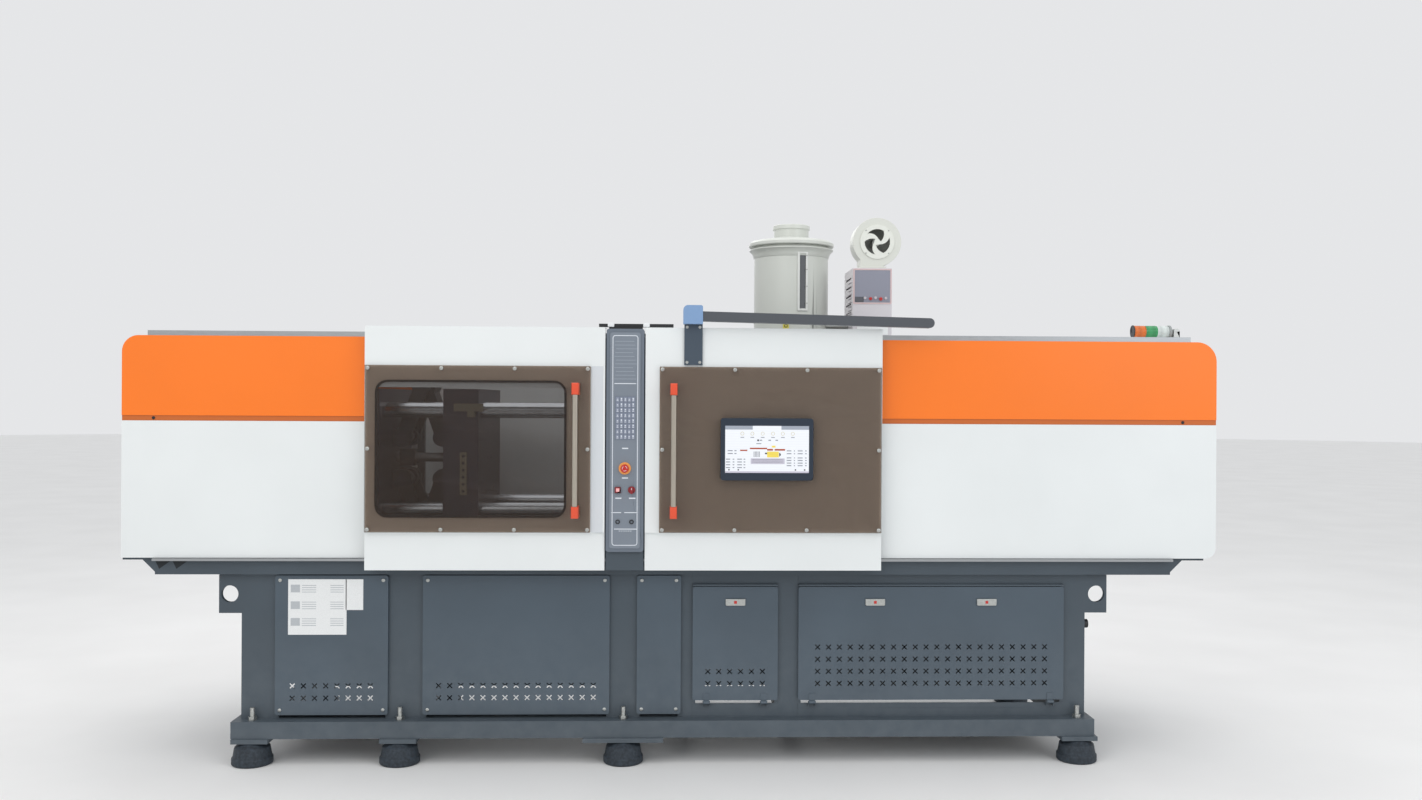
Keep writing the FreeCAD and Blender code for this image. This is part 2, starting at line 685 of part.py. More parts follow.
# ---------------------------------------------------------------- bed covers
def x_vent(x, z, y0, y1):
    """One X-shaped vent: two crossed slots."""
    arms = []
    for angle in (45.0, -45.0):
        arm = box(x - VENT_ARM, x + VENT_ARM, y0, y1, z - VENT_W / 2.0, z + VENT_W / 2.0)
        arm.rotate(V(x, 0, z), AY, angle)
        arms.append(arm)
    return arms[0].fuse(arms[1])


def vents(x_mid, z_low, columns, rows, y_face):
    """Grid of X vents through a cover's face, centred on x_mid."""
    cuts = []
    first = x_mid - VENT_PITCH_X * (columns - 1) / 2.0
    for i in range(columns):
        for j in range(rows):
            cuts.append(x_vent(first + i * VENT_PITCH_X, z_low + j * VENT_PITCH_Z,
                               y_face - VENT_CUT, y_face + SHEET + VENT_CUT))
    return Part.makeCompound(cuts)


def cover(x0, x1, z0, z1, thickness):
    face = -BODY_HALF_D - thickness
    return tray(x0, x1, z0, z1, face, thickness, PANEL_R, SHEET)


def columns_that_fit(width):
    return int((width - 2.0 * SCREW_INSET - VENT_ARM) // VENT_PITCH_X)


def cover_screws(x0, x1, z0, z1, thickness):
    """Button heads of the screws in a cover's corners."""
    screws = []
    for x in (x0 + SCREW_INSET, x1 - SCREW_INSET):
        for z in (z0 + SCREW_INSET, z1 - SCREW_INSET):
            screws.append(rod(AY, x, -BODY_HALF_D - thickness - SCREW_H, z, SCREW_H, SCREW_R))
    return screws


def base_panels():
    """Fixed covers: three in front, five behind."""
    spans = bays()
    z0 = Z_BODY + PANEL_FOOT_GAP
    z1 = Z_BEAM - PANEL_TOP_GAP
    panels = []
    screws = []
    for i, (x0, x1) in enumerate(spans):
        columns = columns_that_fit(x1 - x0)
        vented = cover(x0, x1, z0, z1, PANEL_T)
        if i != PLAIN_BAY:
            vented = vented.cut(vents((x0 + x1) / 2.0, z0 + LOW_VENT_Z, columns, COVER_VENT_ROWS,
                                      -BODY_HALF_D - PANEL_T))
        heads = cover_screws(x0, x1, z0, z1, PANEL_T)
        if i < SMALL_DOOR_BAY:
            panels.append(vented)
            screws += heads
        panels.append(mirror_y(vented))
        screws += [mirror_y(s) for s in heads]
    half = BODY_HALF_D - POST_D + END_COVER_LAP
    for x in (BED_X0 - SHEET, BED_X1):
        panels.append(box(x, x + SHEET, -half, half, z0, z1))
    return panels, screws


def door_z():
    return Z_BODY + DOOR_FOOT, Z_BODY + DOOR_FOOT + DOOR_H


def hinge_axis():
    """Y and Z of the pins along the foot of the two drop-down doors."""
    return -BODY_HALF_D - DOOR_T - DOOR_KNUCKLE_R, Z_BODY + DOOR_FOOT - DOOR_KNUCKLE_R - DOOR_HINGE_GAP


def cabinet_door(i, grid_size):
    """Drop-down door of bay i, with its hinge knuckles along the foot."""
    x0, x1 = bays()[i]
    z0, z1 = door_z()
    y_pin, z_pin = hinge_axis()
    face = -BODY_HALF_D - SEAT - DOOR_T
    grid = vents((x0 + x1) / 2.0, z0 + LOW_VENT_Z, grid_size[0], grid_size[1], face)
    door = tray(x0, x1, z0, z1, face, DOOR_T, PANEL_R, SHEET).cut(grid)
    pieces = [door]
    for x in (x0 + DOOR_HINGE_INSET, x1 - DOOR_HINGE_INSET):
        knuckle = rod(AX, x - DOOR_KNUCKLE_L / 2.0, y_pin, z_pin, DOOR_KNUCKLE_L, DOOR_KNUCKLE_R)
        strap = box(x - DOOR_KNUCKLE_L / 2.0, x + DOOR_KNUCKLE_L / 2.0, face - SHEET, face,
                    z_pin, z0 + DOOR_STRAP_H)
        pin = rod(AX, x - DOOR_KNUCKLE_L / 2.0, y_pin, z_pin, DOOR_KNUCKLE_L, DOOR_HINGE_R + RUN)
        pieces.append(fuse([knuckle, strap]).cut(pin))
    return pieces


def door_lips():
    """Drip lip above and toe strip below each drop-down door, on the posts, with the hinge pins."""
    pieces = []
    z0, z1 = door_z()
    y_pin, z_pin = hinge_axis()
    for x0, x1 in bays()[SMALL_DOOR_BAY:]:
        face = -BODY_HALF_D
        pieces.append(box(x0, x1, face - DOOR_T, face, z1 + SHEET, z1 + SHEET + DRIP_LIP_H))
        toe_top = z_pin - DOOR_KNUCKLE_R - DOOR_HINGE_GAP
        pieces.append(box(x0, x1, face - SHEET, face, toe_top - DOOR_LIP_H, toe_top))
        for x in (x0 + DOOR_HINGE_INSET, x1 - DOOR_HINGE_INSET):
            pieces.append(hinge_bracket(x, y_pin, z_pin, toe_top))
    return pieces


def hinge_bracket(x, y_pin, z_pin, z_foot):
    """Two ears and the pin between them, standing out from the toe strip."""
    ear_gap = DOOR_KNUCKLE_L / 2.0 + SEAT
    ears = []
    for x0 in (x - ear_gap - SHEET, x + ear_gap):
        ear = box(x0, x0 + SHEET, y_pin, -BODY_HALF_D - SHEET, z_foot - DOOR_LIP_H / 2.0, z_pin)
        eye = rod(AX, x0, y_pin, z_pin, SHEET, DOOR_KNUCKLE_R)
        ears += [ear, eye]
    pin = rod(AX, x - ear_gap - SHEET, y_pin, z_pin, 2.0 * (ear_gap + SHEET), DOOR_HINGE_R)
    return fuse(ears + [pin])


def latch_middles():
    """X of each latch: one on the small door, two on the large one."""
    small = bays()[SMALL_DOOR_BAY]
    large = bays()[LARGE_DOOR_BAY]
    width = large[1] - large[0]
    return [(small[0] + small[1]) / 2.0] + [large[0] + share * width for share in LATCH_SPOTS]


def latch(x):
    """Lift paddle that turns about its rounded upper edge."""
    back = -BODY_HALF_D - SEAT - DOOR_T - SEAT
    radius = LATCH_T / 2.0
    top = door_z()[1] - LATCH_DROP
    x0 = x - LATCH_W / 2.0
    paddle = plate_xz(rect(x0, x0 + LATCH_W, top - LATCH_H, top - radius), LATCH_R, back - LATCH_T, back)
    return fuse([paddle, rod(AX, x0, back - radius, top - radius, LATCH_W, radius)])


def electrical_cabinet():
    """Back plate across the large bay, its drive units, and the cable gland on the bed's end."""
    spans = post_spans()
    x0 = spans[LARGE_DOOR_BAY][0]
    x1 = spans[LARGE_DOOR_BAY + 1][1]
    y_back = -BODY_HALF_D + POST_D
    plate = box(x0, x1, y_back, y_back + BACKPLATE_T, Z_BODY + CROSS_H, Z_BEAM - BACKPLATE_TOP)
    pieces = [plate]
    lo, hi = bays()[LARGE_DOOR_BAY]
    pitch = (hi - lo) / DRIVE_COUNT
    z_mid = (Z_BODY + Z_BEAM) / 2.0
    for i in range(DRIVE_COUNT):
        x = lo + pitch * (i + 0.5)
        pieces.append(box(x - DRIVE_W / 2.0, x + DRIVE_W / 2.0, y_back - DRIVE_D, y_back,
                          z_mid - DRIVE_H / 2.0, z_mid + DRIVE_H / 2.0))
    z_gland = Z_BEAM - GLAND_DROP
    y_gland = -BODY_HALF_D + POST_D / 2.0
    gland = pipe(AX, BED_X1, y_gland, z_gland, GLAND_L, GLAND_R, GLAND_R / 2.0)
    return pieces + [gland]


# ---------------------------------------------------------------- hoods
def hood_panels(x0, x1, way):
    """Upper and lower sheets of one hood. way is the X direction of the closed end."""
    outer = x0 if way < 0 else x1
    radius = HOOD_R_CLAMP if way < 0 else HOOD_R_INJ
    foot_r = SHARP_R if way < 0 else HOOD_R_FOOT
    y0 = -HOOD_HALF_D
    y1 = y0 + SHEET
    z_strip = Z_SEAM + SEAM_STRIP_H
    lower_r = (foot_r, 0, 0, 0) if way < 0 else (0, foot_r, 0, 0)
    upper_r = (0, 0, 0, radius) if way < 0 else (0, 0, radius, 0)
    white = [plate_xz(rect(x0, x1, Z_HOOD, Z_SEAM), lower_r, y0, y1)]
    orange = [plate_xz(rect(x0, x1, z_strip, Z_TOP), upper_r, y0, y1)]
    orange.append(box(x0, x1, y0 + SEAM_RECESS, y1 + SEAM_RECESS, Z_SEAM, z_strip))
    white = both_sides(white)
    orange = both_sides(orange)
    inset = way * SHEET
    edges = sorted((outer, outer - inset))
    foot = Z_HOOD + (0.0 if way < 0 else HOOD_R_FOOT)
    white.append(box(edges[0], edges[1], y1, -y1, foot, Z_SEAM))
    strip_edges = sorted((outer - way * SEAM_RECESS, outer - way * SEAM_RECESS - inset))
    in_y = y1 + SEAM_RECESS
    orange.append(box(strip_edges[0], strip_edges[1], in_y, -in_y, Z_SEAM, z_strip))
    orange.append(box(edges[0], edges[1], y1, -y1, z_strip, Z_TOP - radius))
    orange.append(corner_sheet(outer, way, Z_TOP, radius, -1.0, y1))
    if way > 0:
        white.append(corner_sheet(outer, way, Z_HOOD, foot_r, 1.0, y1))
    flat = sorted((outer - way * radius, x1 if way < 0 else x0))
    white.append(box(flat[0], flat[1], y1, -y1, Z_TOP - SHEET, Z_TOP))
    return orange, white


def corner_sheet(x_outer, way, z_flat, radius, up, y1):
    """Quarter-round sheet between an end panel and the sheet at z_flat; up is the way back to the end."""
    centre = V(x_outer - way * radius, y1, z_flat + up * radius)
    faces = []
    for r in (radius, radius - SHEET):
        start = centre + V(way * r, 0, 0)
        middle = centre + V(way * r * math.sqrt(0.5), 0, -up * r * math.sqrt(0.5))
        end = centre + V(0, 0, -up * r)
        faces.append((start, middle, end))
    outer_arc = Part.Arc(*faces[0]).toShape()
    inner_arc = Part.Arc(*faces[1]).toShape()
    ends = [Part.LineSegment(faces[0][0], faces[1][0]).toShape(),
            Part.LineSegment(faces[0][2], faces[1][2]).toShape()]
    wire = Part.Wire(Part.__sortEdges__([outer_arc, inner_arc] + ends))
    return Part.Face(wire).extrude(V(0, -2.0 * y1, 0))


# ---------------------------------------------------------------- guard frame and rails
def guard_frame():
    """Posts and headers of the mould area, and the dark plate under the control column.

    The last cross header is under the injection hood's roof, so the hopper can move back with its carriage.
    """
    pieces = []
    z_header = Z_TOP - HEADER_H
    y0 = -HOOD_HALF_D + SHEET
    y1 = y0 + GUARD_POST_D
    for x in (X_CLAMP, X_COL0 - GUARD_POST_W / 2.0, X_COL1 - GUARD_POST_W / 2.0,
              X_INJ - GUARD_POST_W):
        pieces.append(box(x, x + GUARD_POST_W, y0, y1, Z_HOOD, z_header))
    pieces.append(box(X_CLAMP, X_INJ, y0, y1, z_header, Z_TOP))
    foot_plate = box(X_COL0 + GATE_GAP, X_COL1 - GATE_GAP, -GATE_HALF_D + FACE_INSET, -COLUMN_BACK,
                     GATE_Z0, Z_HOOD + COLUMN_FOOT)
    lower_rail_space = box(X_COL0, X_COL1, -RAIL_HALF_D - SEAT, -BEAM_HALF_D,
                           Z_HOOD - LOWER_RAIL_DROP - SEAT, Z_HOOD)
    pieces.append(foot_plate.cut(lower_rail_space))
    cross = [box(x, x + GUARD_POST_W, y1, -y1, z_header, Z_TOP)
             for x in (X_CLAMP, X_COL0 - GUARD_POST_W / 2.0)]
    cross.append(box(X_INJ, X_INJ + GUARD_POST_W, y0, -y0, z_header - SHEET, Z_TOP - SHEET))
    return both_sides(pieces) + cross


def gate_rails():
    """Upper rails along the hood tops and lower rails along the top beams."""
    y_out = -HOOD_HALF_D + UPPER_RAIL_INSET
    upper = box(X_LEFT + UPPER_RAIL_END + HOOD_R_CLAMP / 2.0, X_RIGHT - UPPER_RAIL_END - HOOD_R_INJ / 2.0,
                y_out, y_out + UPPER_RAIL_W, Z_TOP, Z_TOP + UPPER_RAIL_H)
    lower = box(X_LEFT + BEAM_INSET[0], X_RIGHT - BEAM_INSET[1], -RAIL_HALF_D, -BEAM_HALF_D,
                Z_HOOD - LOWER_RAIL_DROP, Z_HOOD - LOWER_RAIL_DROP + LOWER_RAIL_H)
    return both_sides([upper, lower])


# ---------------------------------------------------------------- control column
def column_parts():
    """Hollow column, its face plate, and the fittings on it. Sockets are cut for each moving control."""
    x0 = X_COL0 + GATE_GAP
    x1 = X_COL1 - GATE_GAP
    z0 = Z_HOOD + COLUMN_FOOT
    z1 = Z_TOP + COLUMN_RISE
    face = -GATE_HALF_D
    shell = tray(x0, x1, z0, z1, face, GATE_HALF_D - COLUMN_BACK, PANEL_R, SHEET)
    plate = plate_xz(rect(x0 + FACE_INSET, x1 - FACE_INSET, z0 + FACE_INSET, z1 - FACE_INSET),
                     (PANEL_R, PANEL_R, PANEL_R, PANEL_R), face - FACE_T, face)
    deep = SHEET + FACE_T + ESTOP_TRAVEL
    x_left = COLUMN_MID - CONTROL_OFFSET
    x_right = COLUMN_MID + CONTROL_OFFSET
    stem = BUTTON_STEM_W / 2.0 + RUN
    holes = Part.makeCompound([
        rod(AY, COLUMN_MID, face - deep, ESTOP_Z, 2.0 * deep, ESTOP_STEM_R + RUN),
        rod(AY, x_right, face - deep, BUTTON_Z, 2.0 * deep, KNOB_STEM_R + RUN),
        box(x_left - stem, x_left + stem, face - deep, face + deep, BUTTON_Z - stem, BUTTON_Z + stem)])
    collar = pipe(AY, COLUMN_MID, face - FACE_T - ESTOP_COLLAR_H, ESTOP_Z, ESTOP_COLLAR_H,
                  ESTOP_COLLAR_R, ESTOP_STEM_R + RUN)
    keypad = box(COLUMN_MID - KEYPAD_W / 2.0, COLUMN_MID + KEYPAD_W / 2.0,
                 face - FACE_T - KEYPAD_T, face - FACE_T, KEYPAD_Z[0], KEYPAD_Z[1])
    sockets = [pipe(AY, x, face - FACE_T - SOCKET_H, SOCKET_Z, SOCKET_H, SOCKET_R, SOCKET_BORE_R)
               for x in (x_left, x_right)]
    return shell.cut(holes), plate.cut(holes), [collar, keypad] + sockets


def rear_column_cover():
    """Plain cover between the two rear gates, behind the control column."""
    shell = tray(X_COL0 + GATE_GAP, X_COL1 - GATE_GAP, Z_HOOD + COLUMN_FOOT, Z_TOP + COLUMN_RISE,
                 -GATE_HALF_D, GATE_HALF_D - COLUMN_BACK, PANEL_R, SHEET)
    return mirror_y(shell)


def estop_button():
    """Mushroom cap on a stem that slides in the collar."""
    face = -GATE_HALF_D - FACE_T - ESTOP_COLLAR_H
    cap0 = face - ESTOP_TRAVEL - SEAT - ESTOP_CAP_H
    cap = rod(AY, COLUMN_MID, cap0, ESTOP_Z, ESTOP_CAP_H, ESTOP_CAP_R)
    cap = cap.makeFillet(ESTOP_CAP_H / 4.0, front_edges(cap, cap0))
    stem = rod(AY, COLUMN_MID, cap0 + ESTOP_CAP_H / 2.0, ESTOP_Z, -cap0 - GATE_HALF_D + SHEET, ESTOP_STEM_R)
    return fuse([cap, stem])


def front_edges(shape, y):
    """Edges that lie in the plane at y."""
    return [e for e in shape.Edges
            if abs(e.BoundBox.YMin - y) < SAME and abs(e.BoundBox.YMax - y) < SAME]


def push_button():
    face = -GATE_HALF_D - FACE_T
    cap0 = face - BUTTON_TRAVEL - SEAT - BUTTON_CAP_H
    x = COLUMN_MID - CONTROL_OFFSET
    half = BUTTON_W / 2.0
    cap = plate_xz(rect(x - half, x + half, BUTTON_Z - half, BUTTON_Z + half),
                   (BUTTON_R, BUTTON_R, BUTTON_R, BUTTON_R), cap0, cap0 + BUTTON_CAP_H)
    half = BUTTON_STEM_W / 2.0
    stem = box(x - half, x + half, cap0 + BUTTON_CAP_H / 2.0, -GATE_HALF_D + SHEET,
               BUTTON_Z - half, BUTTON_Z + half)
    return fuse([cap, stem])


def selector_knob():
    face = -GATE_HALF_D - FACE_T - SEAT
    x = COLUMN_MID + CONTROL_OFFSET
    knob = rod(AY, x, face - KNOB_H, BUTTON_Z, KNOB_H, KNOB_R)
    shoulder = face - KNOB_H + KNOB_GRIP_H
    for side in (-1.0, 1.0):
        lo, hi = sorted((x + side * KNOB_GRIP_HALF_W, x + side * 2.0 * KNOB_R))
        knob = knob.cut(box(lo, hi, face - KNOB_H, shoulder, BUTTON_Z - KNOB_R, BUTTON_Z + KNOB_R))
    stem = rod(AY, x, shoulder, BUTTON_Z, -shoulder - GATE_HALF_D + SHEET, KNOB_STEM_R)
    return fuse([knob, stem])


# ---------------------------------------------------------------- clamp unit
def tie_bar_points():
    return [(y, AXIS_Z + z) for y in (-TIE_BAR_Y, TIE_BAR_Y) for z in (-TIE_BAR_Z, TIE_BAR_Z)]


def platen_block(x0, x1):
    return box(x0, x1, -PLATEN_W / 2.0, PLATEN_W / 2.0, AXIS_Z - PLATEN_H / 2.0, AXIS_Z + PLATEN_H / 2.0)


def bored(block, x0, length, clearance):
    holes = [rod(AX, x0, y, z, length, TIE_BAR_R + clearance) for y, z in tie_bar_points()]
    return block.cut(Part.makeCompound(holes))


def mould_holes(x0):
    """Tapped holes for mould clamps, four on a rectangle."""
    return Part.makeCompound([rod(AX, x0, y, AXIS_Z + z, MOULD_HOLE_L, MOULD_HOLE_R)
                              for y in (-MOULD_BOLT_Y / 2.0, MOULD_BOLT_Y / 2.0)
                              for z in (-MOULD_BOLT_Z / 2.0, MOULD_BOLT_Z / 2.0)])


def fixed_platen():
    block = bored(platen_block(X_FIXED0, X_FIXED1), X_FIXED0, FIXED_PLATEN_T, RUN)
    ring = rod(AX, X_FIXED0, 0, AXIS_Z, RING_L, RING_R)
    well = rod(AX, X_FIXED0 + RING_L, 0, AXIS_Z, FIXED_PLATEN_T - RING_L, NOZZLE_WELL_R)
    block = block.cut(Part.makeCompound([ring, well])).cut(mould_holes(X_FIXED0))
    feet = [box(X_FIXED0, X_FIXED1, side * GUIDE_Y - GUIDE_SHOE_W / 2.0, side * GUIDE_Y + GUIDE_SHOE_W / 2.0,
                Z_HOOD, AXIS_Z - PLATEN_H / 2.0) for side in (-1.0, 1.0)]
    return [block] + feet


def pin_lugs(x_face, x_pivot, spans, pin_half):
    """Pairs of lugs welded to a platen's face, one pair and its pivot pin above and one below the axis."""
    pairs = []
    for side in (-1.0, 1.0):
        z = AXIS_Z + side * PIVOT_Z
        pieces = [rod(AY, x_pivot, -pin_half, z, 2.0 * pin_half, PIVOT_R)]
        for y0, y1 in (spans, (-spans[1], -spans[0])):
            pieces.append(box(min(x_face, x_pivot), max(x_face, x_pivot), y0, y1, z - LUG_R, z + LUG_R))
            pieces.append(rod(AY, x_pivot, y0, z, y1 - y0, LUG_R))
        pairs.append(fuse(pieces))
    return pairs


def slide_shoes(x0, x1, z_top):
    """Bearing shoes on the guide rails, under a platen or the carriage."""
    return [box(x0, x1, side * GUIDE_Y - GUIDE_SHOE_W / 2.0, side * GUIDE_Y + GUIDE_SHOE_W / 2.0,
                Z_GUIDE + SEAT, z_top) for side in (-1.0, 1.0)]


def moving_platen():
    block = bored(platen_block(X_MOVING0, X_MOVING1), X_MOVING0, MOVING_PLATEN_T, RUN)
    block = block.cut(mould_holes(X_MOVING1 - MOULD_HOLE_L))
    for y in (-EJECTOR_PIN_Y, EJECTOR_PIN_Y):
        block = block.cut(rod(AX, X_MOVING0, y, AXIS_Z, MOVING_PLATEN_T, EJECTOR_PIN_R + RUN))
    half_w = EJECTOR_W / 2.0 + EJECTOR_ROOM
    half_h = EJECTOR_H / 2.0 + EJECTOR_ROOM
    block = block.cut(box(X_MOVING0, X_MOVING0 + EJECTOR_POCKET, -half_w, half_w,
                          AXIS_Z - half_h, AXIS_Z + half_h))
    lugs = pin_lugs(X_MOVING0, X_PIVOT_B, FRONT_LUG_Y, FRONT_LUG_Y[1])
    middle = (X_MOVING0 + X_MOVING1) / 2.0
    half = PLATEN_SHOE_L / 2.0
    return [block] + lugs + slide_shoes(middle - half, middle + half, AXIS_Z - PLATEN_H / 2.0)


def toggle_platen():
    block = bored(platen_block(X_TOGGLE0, X_TOGGLE1), X_TOGGLE0, TOGGLE_PLATEN_T, RUN)
    block = block.cut(rod(AX, X_TOGGLE0, 0, AXIS_Z, TOGGLE_PLATEN_T, BALL_R + RUN))
    lugs = pin_lugs(X_TOGGLE1, X_PIVOT_A, REAR_LUG_Y, CHEEK_Y[1])
    feet = [box(X_TOGGLE0, X_TOGGLE1, side * GUIDE_Y - GUIDE_SHOE_W / 2.0,
                side * GUIDE_Y + GUIDE_SHOE_W / 2.0, Z_GUIDE, AXIS_Z - PLATEN_H / 2.0)
            for side in (-1.0, 1.0)]
    return [block] + lugs + feet


def tie_bars():
    pieces = []
    x0 = X_TOGGLE0 - TIE_NUT_T
    x1 = X_FIXED1 + TIE_NUT_T
    for y, z in tie_bar_points():
        pieces.append(rod(AX, x0, y, z, x1 - x0, TIE_BAR_R))
        for x in (x0, X_FIXED1):
            pieces.append(pipe(AX, x, y, z, TIE_NUT_T, TIE_NUT_R, TIE_BAR_R + RUN))
    return pieces


def guide_rails():
    """Linear rails on the inner beams: one pair for the clamp, one for the carriage."""
    pieces = []
    carriage_end = X_CARRIAGE0 + CARRIAGE_L + CARRIAGE_TRAVEL
    for x0, x1 in ((X_TOGGLE0 - TIE_NUT_T, X_FIXED0 - SEAT), (X_COL1, carriage_end)):
        for side in (-1.0, 1.0):
            y = side * GUIDE_Y
            pieces.append(box(x0, min(x1, BED_X1), y - GUIDE_W / 2.0, y + GUIDE_W / 2.0, Z_HOOD, Z_GUIDE))
    return pieces


def knee(side):
    angle = math.radians(LINK_OPEN_DEG)
    x = X_PIVOT_A + LINK_L * math.cos(angle)
    return x, AXIS_Z + side * (PIVOT_Z + LINK_L * math.sin(angle))


def link_bar(xa, za, xb, zb, y0, y1, width, radius_a, radius_b):
    """Bar between two bosses in the XZ plane."""
    length = math.hypot(xb - xa, zb - za)
    bar = box(xa, xa + length, y0, y1, za - width / 2.0, za + width / 2.0)
    bar.rotate(V(xa, 0, za), AY, -math.degrees(math.atan2(zb - za, xb - xa)))
    return [bar, rod(AY, xa, y0, za, y1 - y0, radius_a), rod(AY, xb, y0, zb, y1 - y0, radius_b)]


def rear_link(side):
    """Two cheeks on the toggle platen's pin, joined by the knee pin."""
    xa = X_PIVOT_A
    za = AXIS_Z + side * PIVOT_Z
    xk, zk = knee(side)
    pieces = []
    for y0, y1 in (CHEEK_Y, (-CHEEK_Y[1], -CHEEK_Y[0])):
        pieces += link_bar(xa, za, xk, zk, y0, y1, LINK_W, PIVOT_BOSS_R, PIVOT_BOSS_R)
    pin = rod(AY, xk, -CHEEK_Y[1], zk, 2.0 * CHEEK_Y[1], PIVOT_R)
    bore = rod(AY, xa, -CHEEK_Y[1], za, 2.0 * CHEEK_Y[1], PIVOT_R + RUN)
    return fuse(pieces + [pin]).cut(bore)


def front_link(side):
    """Solid link on the moving platen's pin, with a roomy eye around the knee pin."""
    xb = X_PIVOT_B
    zb = AXIS_Z + side * PIVOT_Z
    xk, zk = knee(side)
    half = FRONT_LINK_HALF_D
    bar = fuse(link_bar(xb, zb, xk, zk, -half, half, LINK_W, PIVOT_BOSS_R, KNEE_EYE_R))
    bore = rod(AY, xb, -half, zb, 2.0 * half, PIVOT_R + RUN)
    eye = rod(AY, xk, -half, zk, 2.0 * half, PIVOT_R + KNEE_PLAY)
    return bar.cut(Part.makeCompound([bore, eye]))


def crosshead():
    x0 = X_TOGGLE1 + CROSSHEAD_GAP
    block = box(x0, x0 + CROSSHEAD_L, -CROSSHEAD_W / 2.0, CROSSHEAD_W / 2.0,
                AXIS_Z - CROSSHEAD_H / 2.0, AXIS_Z + CROSSHEAD_H / 2.0)
    return block.cut(rod(AX, x0, 0, AXIS_Z, CROSSHEAD_L, BALL_R + RUN))


def clamp_motor():
    """Hollow-shaft motor on the toggle platen's rear face, with a square flange."""
    x1 = X_TOGGLE0
    x0 = x1 - CLAMP_MOTOR_L
    body = rod(AX, x0, 0, AXIS_Z, CLAMP_MOTOR_L, CLAMP_MOTOR_R)
    flange = box(x1 - MOTOR_FLANGE_T, x1, -CLAMP_MOTOR_R, CLAMP_MOTOR_R,
                 AXIS_Z - CLAMP_MOTOR_R, AXIS_Z + CLAMP_MOTOR_R)
    return fuse([body, flange]).cut(rod(AX, x0, 0, AXIS_Z, CLAMP_MOTOR_L, BALL_R + RUN))


def clamp_ball_screw():
    x0 = X_TOGGLE0 - CLAMP_MOTOR_L - CLAMP_SCREW_TAIL
    return rod(AX, x0, 0, AXIS_Z, X_MOVING0 - BALL_TIP_GAP - x0 - EJECTOR_T - EJECTOR_GAP, BALL_R)


def ejector_plate():
    """Plate with two pins that run through the moving platen."""
    x1 = X_MOVING0 - EJECTOR_GAP
    half = EJECTOR_W / 2.0
    plate = box(x1 - EJECTOR_T, x1, -half, half, AXIS_Z - EJECTOR_H / 2.0, AXIS_Z + EJECTOR_H / 2.0)
    pins = [rod(AX, x1 - EJECTOR_T, y, AXIS_Z, X_MOVING1 - EJECTOR_PIN_LAND - x1 + EJECTOR_T,
                EJECTOR_PIN_R) for y in (-EJECTOR_PIN_Y, EJECTOR_PIN_Y)]
    return fuse([plate] + pins)


# ---------------------------------------------------------------- injection unit
def barrel():
    """Barrel with its nozzle, and the heater bands around it."""
    tube = rod(AX, X_FEED0 - BARREL_L, 0, AXIS_Z, BARREL_L + FEED_BLOCK_L, BARREL_R)
    nozzle = Part.makeCone(NOZZLE_TIP_R, NOZZLE_R, NOZZLE_L,
                           V(X_FEED0 - BARREL_L - NOZZLE_L, 0, AXIS_Z), AX)
    body = tube.fuse(nozzle)
    bore = rod(AX, X_FEED0 - BARREL_L, 0, AXIS_Z, BARREL_L + FEED_BLOCK_L, BARREL_BORE_R)
    hole = rod(AX, X_FEED0 - BARREL_L - NOZZLE_L, 0, AXIS_Z, NOZZLE_L, NOZZLE_HOLE_R)
    throat = rod(AZ, HOPPER_X, 0, AXIS_Z, BARREL_R, BARREL_BORE_R)
    body = body.cut(Part.makeCompound([bore, hole, throat]))
    bands = [pipe(AX, X_FEED0 - BARREL_L + HEATER_FIRST + i * HEATER_PITCH, 0, AXIS_Z, HEATER_L,
                  HEATER_R, BARREL_R + RUN) for i in range(HEATER_COUNT)]
    return [body] + bands


def carriage():
    """Carriage plate on shoes, feed block, rear plate, and the two rods between them."""
    top = Z_CARRIAGE1
    base = box(X_CARRIAGE0, X_CARRIAGE0 + CARRIAGE_L, -CARRIAGE_W / 2.0, CARRIAGE_W / 2.0, Z_CARRIAGE, top)
    block = box(X_FEED0, X_FEED1, -FEED_BLOCK_W / 2.0, FEED_BLOCK_W / 2.0, top, Z_FEED1)
    block = block.cut(rod(AX, X_FEED0, 0, AXIS_Z, FEED_BLOCK_L, BARREL_R + RUN))
    block = block.cut(rod(AZ, HOPPER_X, 0, AXIS_Z, FEED_BLOCK_H, THROAT_R))
    rear = box(X_REAR0, X_REAR1, -REAR_PLATE_W / 2.0, REAR_PLATE_W / 2.0, top, AXIS_Z + REAR_PLATE_H)
    rear = rear.cut(rod(AX, X_REAR0, 0, AXIS_Z, REAR_PLATE_T, BALL_R + RUN))
    rods = [rod(AX, X_FEED1, y, AXIS_Z, X_REAR0 - X_FEED1, ROD_R) for y in (-ROD_Y, ROD_Y)]
    motor = rod(AX, X_REAR1, 0, AXIS_Z, REAR_MOTOR_L, DRIVE_MOTOR_R)
    motor = motor.cut(rod(AX, X_REAR1, 0, AXIS_Z, REAR_MOTOR_L, BALL_R + RUN))
    shoes = []
    for x in (X_CARRIAGE0 + CARRIAGE_LEAD, X_REAR0 - CARRIAGE_SHOE_L):
        shoes += slide_shoes(x, x + CARRIAGE_SHOE_L, Z_CARRIAGE)
    return [base, block, rear, motor] + rods + shoes


